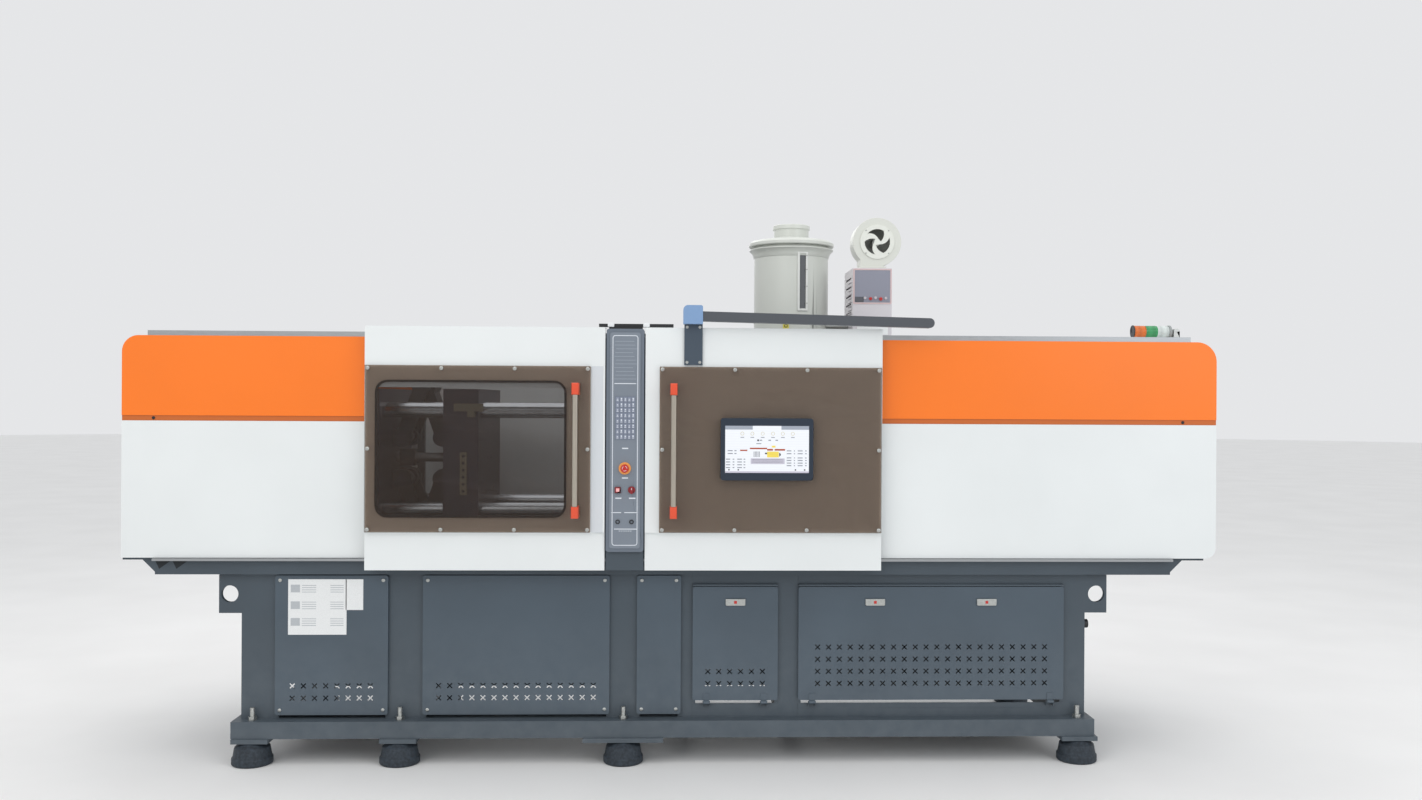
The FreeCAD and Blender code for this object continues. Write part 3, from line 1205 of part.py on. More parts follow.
def screw_drive():
    """Plate on the two rods, with the screw's motor behind it and the ball nut in the motor's tail."""
    plate = box(X_DRIVE0, X_DRIVE1, -DRIVE_PLATE_W / 2.0, DRIVE_PLATE_W / 2.0,
                AXIS_Z - DRIVE_PLATE_H, AXIS_Z + DRIVE_PLATE_H)
    motor = rod(AX, X_DRIVE1, 0, AXIS_Z, DRIVE_MOTOR_L, DRIVE_MOTOR_R)
    rods = [rod(AX, X_DRIVE0, y, AXIS_Z, DRIVE_PLATE_T, ROD_R + RUN) for y in (-ROD_Y, ROD_Y)]
    socket = rod(AX, X_DRIVE0, 0, AXIS_Z, SCREW_SOCKET_L, BARREL_BORE_R + RUN)
    nut = rod(AX, X_DRIVE1 + DRIVE_MOTOR_L - NUT_DEPTH, 0, AXIS_Z, NUT_DEPTH, BALL_R + RUN)
    return fuse([plate, motor]).cut(Part.makeCompound(rods + [socket, nut]))


def plasticising_screw():
    x0 = X_FEED0 - BARREL_L + SCREW_TIP_GAP
    x1 = X_DRIVE0 + SCREW_SOCKET_L
    tip = Part.makeCone(SCREW_TIP_R, BARREL_BORE_R - RUN, SCREW_TIP_L, V(x0 - SCREW_TIP_L, 0, AXIS_Z), AX)
    return rod(AX, x0, 0, AXIS_Z, x1 - x0 - SEAT, BARREL_BORE_R - RUN).fuse(tip).removeSplitter()


def injection_ball_screw():
    x0 = X_DRIVE1 + DRIVE_MOTOR_L - NUT_TIP_GAP
    return rod(AX, x0, 0, AXIS_Z, X_REAR1 + REAR_MOTOR_L - x0 + CLAMP_SCREW_TAIL, BALL_R)


# ---------------------------------------------------------------- hopper, dryer and blower
def hopper_body():
    """Rolled cylinder, cone with its throat, flange, frame of the sight window, and the lid's hinge."""
    r = HOPPER_R
    t = HOPPER_WALL
    flange = Z_FEED1 + HOPPER_FLANGE_T
    profile = Part.makePolygon([V(THROAT_R, 0, flange), V(THROAT_R + t, 0, flange),
                                V(THROAT_R + t, 0, CONE_FOOT), V(r, 0, CONE_TOP), V(r - t, 0, CONE_TOP),
                                V(THROAT_R, 0, CONE_FOOT), V(THROAT_R, 0, flange)])
    cone = Part.Face(profile).revolve(V(0, 0, 0), AZ, 360)
    cone.translate(V(HOPPER_X, 0, 0))
    half = HOPPER_FLANGE_W / 2.0
    base = box(HOPPER_X - half, HOPPER_X + half, -half, half, Z_FEED1, flange)
    base = base.cut(rod(AZ, HOPPER_X, 0, Z_FEED1, HOPPER_FLANGE_T, THROAT_R))
    window = sight_piece(SIGHT_W - 2.0 * SIGHT_FRAME, SIGHT_Z[0] + SIGHT_FRAME,
                         SIGHT_Z[1] - SIGHT_FRAME, r - SIGHT_CUT, r + SIGHT_CUT)
    wall = pipe(AZ, HOPPER_X, 0, CONE_TOP, HOPPER_TOP - CONE_TOP, r, r - t).cut(window)
    frame = sight_piece(SIGHT_W, SIGHT_Z[0], SIGHT_Z[1], r + RUN, r + SIGHT_FRAME_T).cut(window)
    ears = [lid_ear(x) for x in (-LID_HINGE_L / 2.0 - 2.0 * SHEET, LID_HINGE_L / 2.0 + SHEET)]
    pin = rod(AX, HOPPER_X - LID_HINGE_L / 2.0 - 2.0 * SHEET, LID_R + LID_HINGE_OUT, HOPPER_TOP,
              LID_HINGE_L + 4.0 * SHEET, LID_HINGE_R)
    inside = rod(AZ, HOPPER_X, 0, CONE_TOP, HOPPER_TOP - CONE_TOP, r)
    return [wall, cone, base, frame, fuse(ears + [pin]).cut(inside)]


def lid_ear(x):
    """Ear from the hopper's wall to the lid's hinge pin."""
    y1 = LID_R + LID_HINGE_OUT
    low = HOPPER_TOP - 4.0 * LID_HINGE_R
    web = box(HOPPER_X + x, HOPPER_X + x + SHEET, HOPPER_R - HOPPER_WALL, y1, low, HOPPER_TOP - SHEET)
    boss = rod(AX, HOPPER_X + x, y1, HOPPER_TOP, SHEET, LID_HINGE_R * 2.0)
    return web.fuse(boss)


def sight_piece(width, z0, z1, r0, r1):
    """Sector of a ring around the hopper, width wide, facing SIGHT_AZ."""
    ring = pipe(AZ, HOPPER_X, 0, z0, z1 - z0, r1, r0)
    slab = box(HOPPER_X - width / 2.0, HOPPER_X + width / 2.0, -2.0 * HOPPER_R, 0, z0, z1)
    slab.rotate(V(HOPPER_X, 0, 0), AZ, SIGHT_AZ)
    return ring.common(slab)


def hopper_sight_glass():
    return sight_piece(SIGHT_W - 2.0 * SIGHT_FRAME - 2.0 * SEAT, SIGHT_Z[0] + SIGHT_FRAME + SEAT,
                       SIGHT_Z[1] - SIGHT_FRAME - SEAT, HOPPER_R - HOPPER_WALL / 2.0,
                       HOPPER_R - HOPPER_WALL / 2.0 + SIGHT_GLASS_T)


def hopper_lid():
    """Spun lid with a rolled rim, the receiver cap on top, and the hinge knuckle."""
    z0 = HOPPER_TOP + SEAT
    rim = Part.makePolygon([V(0, 0, z0), V(LID_R - LID_SKIRT, 0, z0), V(LID_R, 0, z0 + LID_SKIRT),
                            V(LID_R, 0, z0 + LID_H * 0.35), V(LID_R - 4.0 * LID_SKIRT, 0, z0 + LID_H * 0.6),
                            V(CAP_R, 0, z0 + LID_H), V(CAP_R, 0, z0 + LID_H + CAP_H - CAP_STEP),
                            V(CAP_R + CAP_STEP / 4.0, 0, z0 + LID_H + CAP_H - CAP_STEP),
                            V(CAP_R + CAP_STEP / 4.0, 0, z0 + LID_H + CAP_H - 4.0),
                            V(CAP_R, 0, z0 + LID_H + CAP_H), V(0, 0, z0 + LID_H + CAP_H), V(0, 0, z0)])
    body = Part.Face(rim).revolve(V(0, 0, 0), AZ, 360)
    body.translate(V(HOPPER_X, 0, 0))
    half = LID_HINGE_L / 2.0
    y_pin = LID_R + LID_HINGE_OUT
    leaf = box(HOPPER_X - half, HOPPER_X + half, LID_R - 6.0 * LID_SKIRT, y_pin, z0 + LID_SKIRT,
               z0 + LID_H * 0.3)
    knuckle = rod(AX, HOPPER_X - half, y_pin, HOPPER_TOP, LID_HINGE_L, LID_HINGE_R * 2.0)
    hinge = rod(AX, HOPPER_X - half, y_pin, HOPPER_TOP, LID_HINGE_L, LID_HINGE_R + RUN)
    return fuse([body, leaf, knuckle]).cut(hinge)


def dryer_box():
    """Heater box with louvres on its clamp side, and the hot-air duct to the hopper."""
    x0 = DRYER_X
    x1 = DRYER_X + DRYER_W
    y0, y1 = DRYER_Y
    z0, z1 = DRYER_Z
    t = DRYER_WALL
    shell = box(x0, x1, y0, y1, z0, z1).cut(box(x0 + t, x1 - t, y0 + t, y1 - t, z0, z1 - t))
    mid_y = (y0 + y1) / 2.0
    for i in range(LOUVRE_COUNT):
        z = z1 - LOUVRE_TOP_DROP - LOUVRE_PITCH * i
        shell = shell.cut(box(x0 - t, x0 + 2.0 * t, mid_y - LOUVRE_L / 2.0, mid_y + LOUVRE_L / 2.0,
                              z, z + LOUVRE_H))
    reach = math.sqrt(HOPPER_R ** 2 - AIR_DUCT_Y ** 2) - AIR_DUCT_LAP
    x_hopper = HOPPER_X + reach
    duct = pipe(AX, x_hopper, AIR_DUCT_Y, AIR_DUCT_Z, x0 - x_hopper, AIR_DUCT_R, AIR_DUCT_R - AIR_DUCT_WALL)
    duct = duct.cut(rod(AZ, HOPPER_X, 0, AIR_DUCT_Z - 2.0 * AIR_DUCT_R, 4.0 * AIR_DUCT_R, HOPPER_R + SEAT))
    return [shell, duct]


def blower_housing():
    """Round fan housing with its outlet neck down to the heater box, and the swirled inlet guard."""
    y0, y1 = BLOWER_Y
    t = BLOWER_WALL
    low = DRYER_Z[1]
    x0 = BLOWER_X + BLOWER_NECK[0]
    x1 = BLOWER_X + BLOWER_NECK[1]
    lip = BLOWER_NECK_FLANGE
    outer = rod(AY, BLOWER_X, y0, BLOWER_Z, y1 - y0, BLOWER_R)
    neck = box(x0, x1, y0, y1, low, BLOWER_Z)
    flange = box(x0 - lip, x1 + lip, y0 - lip, y1 + lip, low, low + lip)
    inner = rod(AY, BLOWER_X, y0 + t, BLOWER_Z, y1 - y0 - 2.0 * t, BLOWER_R - t)
    inner = inner.fuse(box(x0 + t, x1 - t, y0 + t, y1 - t, low, BLOWER_Z))
    eye = rod(AY, BLOWER_X, y0 - t, BLOWER_Z, 3.0 * t, BLOWER_EYE_R)
    shaft = rod(AY, BLOWER_X, y1 - 2.0 * t, BLOWER_Z, 4.0 * t, IMPELLER_SHAFT_R + RUN)
    housing = fuse([outer, neck, flange]).cut(Part.makeCompound([inner, eye, shaft]))
    guard = rod(AY, BLOWER_X, y0 - GUARD_T, BLOWER_Z, GUARD_T, GUARD_RIM_R)
    return [housing, guard.cut(Part.makeCompound([swirl(i) for i in range(SWIRL_COUNT)]))]


def swirl_point(share, turn):
    angle = math.radians(turn)
    return V(BLOWER_X + SWIRL_R * share * math.cos(angle), BLOWER_Y[0] - 2.0 * GUARD_T,
             BLOWER_Z + SWIRL_R * share * math.sin(angle))


def swirl(i):
    """One of the swirled openings of the inlet guard."""
    turn = 360.0 * i / SWIRL_COUNT
    lead = [swirl_point(r, a + turn) for r, a in zip(SWIRL_SHARES, SWIRL_LEAD)]
    trail = [swirl_point(r, a + turn) for r, a in zip(SWIRL_SHARES, SWIRL_TRAIL)]
    rim_mid = swirl_point(SWIRL_SHARES[-1], (SWIRL_LEAD[-1] + SWIRL_TRAIL[-1]) / 2.0 + turn)
    edges = [Part.Arc(lead[0], lead[1], lead[2]).toShape(),
             Part.Arc(lead[2], rim_mid, trail[2]).toShape(),
             Part.Arc(trail[2], trail[1], trail[0]).toShape(),
             Part.LineSegment(trail[0], lead[0]).toShape()]
    return Part.Face(Part.Wire(Part.__sortEdges__(edges))).extrude(V(0, 3.0 * GUARD_T, 0))


def blower_impeller():
    """Hub, back disc and straight blades on a shaft through the housing's rear wall."""
    y0 = BLOWER_Y[0] + 2.0 * BLOWER_WALL
    y1 = BLOWER_Y[1] - 2.0 * BLOWER_WALL
    hub0 = y0 + IMPELLER_BLADE_L / 3.0
    hub = rod(AY, BLOWER_X, hub0, BLOWER_Z, y1 - hub0, IMPELLER_HUB_R)
    disc = rod(AY, BLOWER_X, y1 - IMPELLER_BLADE_T, BLOWER_Z, IMPELLER_BLADE_T, IMPELLER_R)
    shaft = rod(AY, BLOWER_X, y1, BLOWER_Z, 3.0 * BLOWER_WALL, IMPELLER_SHAFT_R)
    blades = []
    for i in range(IMPELLER_BLADES):
        tip = BLOWER_X + IMPELLER_R - IMPELLER_RIM
        blade = box(tip - IMPELLER_BLADE_W, tip,
                    y1 - IMPELLER_BLADE_L, y1 - IMPELLER_BLADE_T / 2.0,
                    BLOWER_Z - IMPELLER_BLADE_T / 2.0, BLOWER_Z + IMPELLER_BLADE_T / 2.0)
        blade.rotate(V(BLOWER_X, 0, BLOWER_Z), AY, 360.0 * i / IMPELLER_BLADES)
        blades.append(blade)
    return fuse([hub, disc, shaft] + blades)


# ---------------------------------------------------------------- sliding gates
def gate_sheet(x0, x1):
    """Folded gate: top flange over the rail, upper face, set-back skirt, and turned-in edges."""
    t = GATE_SHEET
    face = -GATE_HALF_D
    back = face + GATE_T
    step = GATE_Z0 + SKIRT_H
    skirt = face + SKIRT_SETBACK
    rail_back = -HOOD_HALF_D + UPPER_RAIL_INSET + UPPER_RAIL_W + t
    walls = [box(x0, x1, face, rail_back, GATE_Z1 - t, GATE_Z1),
             box(x0, x1, face, face + t, step, GATE_Z1),
             box(x0, x1, face, skirt + t, step, step + t),
             box(x0, x1, skirt, skirt + t, GATE_Z0, step + t),
             box(x0, x1, skirt, back, GATE_Z0, GATE_Z0 + t)]
    for x in (x0, x1 - t):
        walls.append(box(x, x + t, face, back, step, GATE_Z1))
        walls.append(box(x, x + t, skirt, back, GATE_Z0, step + t))
    return fuse(walls)


def gate_shoes(x0, x1):
    """Carriers that run on the upper rail and guides that run in front of the lower rail."""
    shoes = []
    y_mid = -HOOD_HALF_D + UPPER_RAIL_INSET + UPPER_RAIL_W / 2.0
    inside = -GATE_HALF_D + SKIRT_SETBACK + GATE_SHEET
    low = Z_HOOD - LOWER_RAIL_DROP
    for x in (x0 + SHOE_L, x1 - 2.0 * SHOE_L):
        shoes.append(box(x, x + SHOE_L, y_mid - SHOE_W / 2.0, y_mid + SHOE_W / 2.0,
                         Z_TOP + UPPER_RAIL_H + SEAT, GATE_Z1 - GATE_SHEET))
        shoes.append(box(x, x + SHOE_L, inside, -RAIL_HALF_D - SEAT, low, low + LOWER_RAIL_H))
    return shoes


def gate_cutout(x0):
    """Window cut-out of the clamp gate, whose outer edge is at x0."""
    edge = x0 + CUTOUT_EDGE
    z0 = GATE_Z0 + CUTOUT_FOOT
    radii = (CUTOUT_R, CUTOUT_R, CUTOUT_R, CUTOUT_R)
    return plate_xz(rect(edge, edge + CUTOUT_W, z0, z0 + CUTOUT_H), radii,
                    -GATE_HALF_D - GATE_SHEET, -GATE_HALF_D + 2.0 * GATE_SHEET)


def window_box(x0, x1, way):
    """Outline of the smoked plate; way points from the gate's outer edge to its inner edge."""
    edge = (x0 if way > 0 else x1) + way * WINDOW_EDGE
    lo, hi = sorted((edge, edge + way * WINDOW_L))
    top = GATE_Z1 - WINDOW_TOP_DROP
    return lo, hi, top - WINDOW_H, top


def gate_window(x0, x1, way):
    """Smoked plate on stand-offs, and the screws that hold it."""
    lo, hi, z0, z1 = window_box(x0, x1, way)
    face = -WINDOW_HALF_D
    plate = plate_xz(rect(lo, hi, z0, z1), (WINDOW_R, WINDOW_R, WINDOW_R, WINDOW_R),
                     face, face + WINDOW_T)
    return plate, window_screws(lo, hi, z0, z1)


def window_screws(lo, hi, z0, z1):
    """Screws around the window: four along the top and foot, one half way up each side."""
    i = WINDOW_SCREW_INSET
    third = (hi - lo - 2.0 * i) / 3.0
    spots = [(lo + i + third * k, z) for k in range(4) for z in (z0 + i, z1 - i)]
    spots += [(x, (z0 + z1) / 2.0) for x in (lo + i, hi - i)]
    pieces = []
    for x, z in spots:
        pieces.append(rod(AY, x, -WINDOW_HALF_D - WINDOW_SCREW_H, z, WINDOW_SCREW_H, WINDOW_SCREW_R))
        pieces.append(rod(AY, x, -WINDOW_HALF_D + WINDOW_T, z,
                          WINDOW_HALF_D - WINDOW_T - GATE_HALF_D, STANDOFF_R))
    return pieces


def gate_handle(x0, x1, way, y_seat):
    """Two end blocks and the bar between them, on the face at y_seat."""
    x = (x1 if way > 0 else x0) - way * HANDLE_FROM_INNER
    half = HANDLE_BAR_L / 2.0
    ends = []
    for z0 in (HANDLE_MID_Z - half - HANDLE_END_H, HANDLE_MID_Z + half):
        block = box(x - HANDLE_END_W / 2.0, x + HANDLE_END_W / 2.0, -HANDLE_HALF_D, y_seat,
                    z0, z0 + HANDLE_END_H)
        ends.append(block.makeFillet(HANDLE_END_W / 5.0, front_edges(block, -HANDLE_HALF_D)))
    bar0 = -HANDLE_HALF_D + HANDLE_BAR_SETBACK
    bar = box(x - HANDLE_BAR_W / 2.0, x + HANDLE_BAR_W / 2.0, bar0, bar0 + HANDLE_BAR_D,
              HANDLE_MID_Z - half, HANDLE_MID_Z + half)
    upright = [e for e in bar.Edges if e.BoundBox.ZLength > HANDLE_BAR_L / 2.0]
    return ends + [bar.makeFillet(HANDLE_BAR_D / 4.0, upright)]


def clamp_gate_span():
    return X_CLAMP + GATE_GAP, X_CLAMP + GATE_GAP + GATE_L


def nozzle_gate_span():
    return X_COL1 + GATE_GAP, X_COL1 + GATE_GAP + GATE_L


def rear_gate(span, way):
    """Plain rear gate with its shoes and handle, as one group."""
    x0, x1 = span
    pieces = [gate_sheet(x0, x1)] + gate_shoes(x0, x1)
    pieces += gate_handle(x0, x1, way, -GATE_HALF_D)
    return [mirror_y(p) for p in pieces]


def screen():
    """Screen housing on the window, with a pocket for its glass."""
    x0 = nozzle_gate_span()[0] + SCREEN_X
    y1 = -WINDOW_HALF_D
    y0 = y1 - SCREEN_D
    radii = (SCREEN_R, SCREEN_R, SCREEN_R, SCREEN_R)
    body = plate_xz(rect(x0, x0 + SCREEN_W, SCREEN_Z, SCREEN_Z + SCREEN_H), radii, y0, y1)
    inner = rect(x0 + GLASS_MARGIN, x0 + SCREEN_W - GLASS_MARGIN, SCREEN_Z + GLASS_MARGIN_Z,
                 SCREEN_Z + SCREEN_H - GLASS_MARGIN_Z)
    pocket = plate_xz(inner, (GLASS_R, GLASS_R, GLASS_R, GLASS_R), y0, y0 + GLASS_T)
    return body.cut(pocket), pocket


def duct_arm():
    """Bracket on the nozzle gate, elbow on top of it, and the arm towards the injection end."""
    x0 = nozzle_gate_span()[0] + DUCT_X
    z1 = GATE_Z1 + DUCT_BRACKET_RISE
    z0 = z1 - DUCT_BRACKET_H
    face = -GATE_HALF_D
    bracket = box(x0, x0 + DUCT_W, face - DUCT_BRACKET_T, face, z0, z1)
    inset = DUCT_SCREW_INSET
    screws = [rod(AY, x, face - DUCT_BRACKET_T - SCREW_H, z, SCREW_H, DUCT_SCREW_R)
              for x in (x0 + inset, x0 + DUCT_W - inset) for z in (z0 + inset, z1 - inset)]
    elbow = plate_xz(rect(x0 - ELBOW_LIP, x0 + DUCT_W, z1, z1 + ELBOW_H), ELBOW_R, face - ELBOW_D, face)
    x_arm = x0 + DUCT_W
    z_arm = z1 + ELBOW_H - ARM_DROP
    y_arm = face - ELBOW_D / 2.0
    arm = plate_xz(rect(x_arm, x_arm + ARM_L, z_arm - ARM_H, z_arm), (0, ARM_R, ARM_R, 0),
                   y_arm - ARM_D / 2.0, y_arm + ARM_D / 2.0)
    arm.rotate(V(x_arm, 0, z_arm), AY, -ARM_TILT)
    return [bracket] + screws + [elbow, arm.cut(elbow)]


# ---------------------------------------------------------------- signal light
def signal_bracket():
    """Foot plate with two ears and the pin between them."""
    gap = LIGHT_EAR_GAP / 2.0
    z_pin = Z_TOP + LIGHT_RISE
    pieces = [box(LIGHT_X - LIGHT_R, LIGHT_X + LIGHT_EAR_R, LIGHT_Y - LIGHT_R, LIGHT_Y + LIGHT_R, Z_TOP,
                  Z_TOP + LIGHT_FOOT_T)]
    for y in (LIGHT_Y - gap - LIGHT_EAR_T, LIGHT_Y + gap):
        pieces.append(box(LIGHT_X - LIGHT_EAR_R, LIGHT_X + LIGHT_EAR_R, y, y + LIGHT_EAR_T, Z_TOP, z_pin))
        pieces.append(rod(AY, LIGHT_X, y, z_pin, LIGHT_EAR_T, LIGHT_EAR_R))
    pieces.append(rod(AY, LIGHT_X, LIGHT_Y - gap - LIGHT_EAR_T, z_pin, LIGHT_EAR_GAP + 2.0 * LIGHT_EAR_T,
                      LIGHT_PIN_R))
    return fuse(pieces)


def signal_light():
    """Three-colour light, folded down along the hood, on a tongue around the pin."""
    z = Z_TOP + LIGHT_RISE
    half = LIGHT_EAR_GAP / 2.0 - SEAT
    start = LIGHT_X - LIGHT_TONGUE
    tongue = box(start, LIGHT_X, LIGHT_Y - half, LIGHT_Y + half, z - LIGHT_EYE_R, z + LIGHT_EYE_R)
    eye = rod(AY, LIGHT_X, LIGHT_Y - half, z, 2.0 * half, LIGHT_EYE_R)
    base = rod(AX, start - LIGHT_BASE_L, LIGHT_Y, z, LIGHT_BASE_L, LIGHT_R)
    bore = rod(AY, LIGHT_X, LIGHT_Y - half, z, 2.0 * half, LIGHT_PIN_R + RUN)
    pieces = [fuse([tongue, eye, base]).cut(bore)]
    x = start - LIGHT_BASE_L
    for _ in range(LIGHT_SEGMENTS):
        x -= LIGHT_SEGMENT
        pieces.append(rod(AX, x, LIGHT_Y, z, LIGHT_SEGMENT, LIGHT_R - LIGHT_LIP))
    pieces.append(rod(AX, x - LIGHT_END_L, LIGHT_Y, z, LIGHT_END_L, LIGHT_R))
    return pieces


# ---------------------------------------------------------------- writing the nodes
def main():
    os.makedirs("parts", exist_ok=True)
    save("bed_rails", bed_rails())
    save("bed_frame", bed_frame())
    save("lifting_eyes", lifting_eyes())
    save("machine_mounts", machine_mounts())
    save("foot_brackets", foot_brackets())
    panels, screws = base_panels()
    save("base_panels", panels)
    save("cover_fixings", screws + door_lips())
    save("small_cabinet_door", cabinet_door(SMALL_DOOR_BAY, SMALL_DOOR_VENTS))
    save("large_cabinet_door", cabinet_door(LARGE_DOOR_BAY, LARGE_DOOR_VENTS))
    for name, x in zip(("small_door_latch", "large_door_latch_left", "large_door_latch_right"),
                       latch_middles()):
        save(name, [latch(x)])
    save("electrical_cabinet", electrical_cabinet())
    clamp_orange, clamp_white = hood_panels(X_LEFT, X_CLAMP, -1.0)
    inject_orange, inject_white = hood_panels(X_INJ, X_RIGHT, 1.0)
    save("hood_orange_panels", clamp_orange + inject_orange)
    save("hood_white_panels", clamp_white + inject_white + [rear_column_cover()])
    save("guard_frame", guard_frame())
    save("gate_rails", gate_rails())
    shell, face, fittings = column_parts()
    save("control_column", [shell])
    save("column_face", [face])
    save("column_fittings", fittings)
    save("estop_button", [estop_button()])
    save("push_button", [push_button()])
    save("selector_knob", [selector_knob()])
    save("fixed_platen", fixed_platen())
    save("toggle_platen", toggle_platen())
    save("moving_platen", moving_platen())
    save("tie_bars", tie_bars())
    save("guide_rails", guide_rails())
    save("clamp_motor", [clamp_motor()])
    save("clamp_ball_screw", [clamp_ball_screw()])
    save("toggle_crosshead", [crosshead()])
    for name, side in (("upper", 1.0), ("lower", -1.0)):
        save("toggle_rear_link_" + name, [rear_link(side)])
        save("toggle_front_link_" + name, [front_link(side)])
    save("ejector_plate", [ejector_plate()])
    save("injection_carriage", carriage())
    save("barrel", barrel())
    save("screw_drive", [screw_drive()])
    save("plasticising_screw", [plasticising_screw()])
    save("injection_ball_screw", [injection_ball_screw()])
    save("hopper_body", hopper_body())
    save("hopper_sight_glass", [hopper_sight_glass()])
    save("hopper_lid", [hopper_lid()])
    save("dryer_box", dryer_box())
    save("blower_housing", blower_housing())
    save("blower_impeller", [blower_impeller()])
    for name, span, way in (("clamp", clamp_gate_span(), 1.0), ("nozzle", nozzle_gate_span(), -1.0)):
        x0, x1 = span
        plate, screws = gate_window(x0, x1, way)
        panel = gate_sheet(x0, x1)
        if name == "clamp":
            panel = panel.cut(gate_cutout(x0))
        save(name + "_gate_panel", [panel] + gate_shoes(x0, x1))
        save(name + "_gate_window", [plate] + screws)
        save(name + "_gate_handle", gate_handle(x0, x1, way, -WINDOW_HALF_D))
        save("rear_" + name + "_gate", rear_gate(span, way))
    housing, glass = screen()
    save("screen_housing", [housing])
    save("screen_glass", [glass])
    save("duct_arm", duct_arm())
    save("signal_bracket", [signal_bracket()])
    save("signal_light", signal_light())


main()
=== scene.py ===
"""Looks of an all-electric injection moulding machine, laid out as an add-on and run as a script."""
import json
import math

import bmesh
import bpy
from mathutils import Matrix, Vector

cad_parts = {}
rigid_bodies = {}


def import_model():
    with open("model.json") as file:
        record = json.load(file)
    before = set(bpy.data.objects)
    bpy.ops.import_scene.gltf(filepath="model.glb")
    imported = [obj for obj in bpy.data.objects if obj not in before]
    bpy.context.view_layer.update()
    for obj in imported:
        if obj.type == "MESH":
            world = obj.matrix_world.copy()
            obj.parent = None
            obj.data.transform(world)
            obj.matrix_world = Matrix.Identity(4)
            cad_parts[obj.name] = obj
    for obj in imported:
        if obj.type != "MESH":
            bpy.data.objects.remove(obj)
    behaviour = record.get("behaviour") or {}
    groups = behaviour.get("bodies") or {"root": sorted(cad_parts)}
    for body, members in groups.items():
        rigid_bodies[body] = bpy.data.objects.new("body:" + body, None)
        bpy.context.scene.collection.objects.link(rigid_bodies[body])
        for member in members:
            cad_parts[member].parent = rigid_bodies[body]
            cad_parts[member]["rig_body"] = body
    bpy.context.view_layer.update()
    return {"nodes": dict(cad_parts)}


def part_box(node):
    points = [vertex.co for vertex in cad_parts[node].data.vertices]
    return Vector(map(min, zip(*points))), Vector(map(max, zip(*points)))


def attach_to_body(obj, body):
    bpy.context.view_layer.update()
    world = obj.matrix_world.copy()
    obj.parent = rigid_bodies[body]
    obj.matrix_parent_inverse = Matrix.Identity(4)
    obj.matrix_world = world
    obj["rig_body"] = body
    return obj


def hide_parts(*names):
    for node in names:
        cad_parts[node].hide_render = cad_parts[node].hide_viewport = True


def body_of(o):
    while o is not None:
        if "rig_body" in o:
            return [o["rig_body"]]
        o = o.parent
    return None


bl_info = {
    "name": "Injection moulding machine looks",
    "version": (1, 0, 0),
    "blender": (4, 5, 0),
    "location": "3D View > Sidebar > Moulding",
    "description": "Builds the finish and the fine pieces around the packed machine",
    "category": "Object",
}

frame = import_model()
SLOTS = {node: shown.data.materials[0].name for node, shown in frame["nodes"].items()}


# ---------------------------------------------------------------- colours and materials
WAVE_PHASE = 20.0  # a wave texture's phase grows by this, times its scale, in a metre
MATERIALS = {}


def linear(hex_code):
    """sRGB hex as a linear RGBA tuple."""
    value = hex_code.lstrip("#")
    channels = [int(value[i:i + 2], 16) / 255.0 for i in (0, 2, 4)]
    return tuple(c / 12.92 if c <= 0.04045 else ((c + 0.055) / 1.055) ** 2.4 for c in channels) + (1.0,)


def shade(colour, factor):
    return tuple(min(1.0, c * factor) for c in colour[:3]) + (1.0,)


def add_node(tree, kind, settings=None, values=None, links=None, stops=()):
    """Adds a node; settings are its own attributes, values its inputs, links are input: (node, output)."""
    made = tree.nodes.new("ShaderNode" + kind)
    for i, (position, colour) in enumerate(stops):
        stop = made.color_ramp.elements[i] if i < 2 else made.color_ramp.elements.new(position)
        stop.position, stop.color = position, colour
    for key, value in (settings or {}).items():
        setattr(made, key, value)
    for key, value in (values or {}).items():
        made.inputs[key].default_value = value
    for key, (source, output) in (links or {}).items():
        tree.links.new(source.outputs[output], made.inputs[key])
    return made


def per_metre(size_mm):
    """Texture scale that gives one feature every size_mm."""
    return 1000.0 / size_mm


def kept(function):
    """Makes a material once for a given name, colour and numbers. The function adds the nodes that lie between
    the object's coordinates and the output, and returns the shader."""
    def inner(name, hex_code, *numbers):
        key = (function.__name__, name, hex_code) + numbers
        if key not in MATERIALS:
            material = bpy.data.materials.new(name)
            material.use_nodes = True
            tree = material.node_tree
            tree.nodes.clear()
            shader = function(tree, add_node(tree, "TexCoord"), linear(hex_code), *numbers)
            add_node(tree, "OutputMaterial", links={"Surface": (shader, "BSDF")})
            MATERIALS[key] = material
        return MATERIALS[key]
    return inner


@kept
def powder_coated_steel(tree, place, colour, roughness, peel_mm=6.0):
    """Baked powder on sheet steel: even colour, a faint orange-peel ripple and soft broad clouds of gloss."""
    clouds = add_node(tree, "TexNoise", values={"Scale": per_metre(700.0), "Detail": 3.0},
                      links={"Vector": (place, "Object")})
    tint = add_node(tree, "ValToRGB", links={"Fac": (clouds, "Fac")},
                    stops=((0.3, shade(colour, 0.965)), (0.7, shade(colour, 1.02))))
    # real orange peel is 2 to 4 mm across; it is drawn a little coarser so that it still reads
    peel = add_node(tree, "TexNoise", values={"Scale": per_metre(peel_mm), "Detail": 2.0},
                    links={"Vector": (place, "Object")})
    bump = add_node(tree, "Bump", values={"Strength": 0.12, "Distance": 0.0006}, links={"Height": (peel, "Fac")})
    gloss = add_node(tree, "MapRange", values={"To Min": roughness - 0.04, "To Max": roughness + 0.06},
                     links={"Value": (clouds, "Fac")})
    return add_node(tree, "BsdfPrincipled", values={"Coat Weight": 0.15, "Coat Roughness": 0.2},
                    links={"Base Color": (tint, "Color"), "Roughness": (gloss, "Result"),
                           "Normal": (bump, "Normal")})


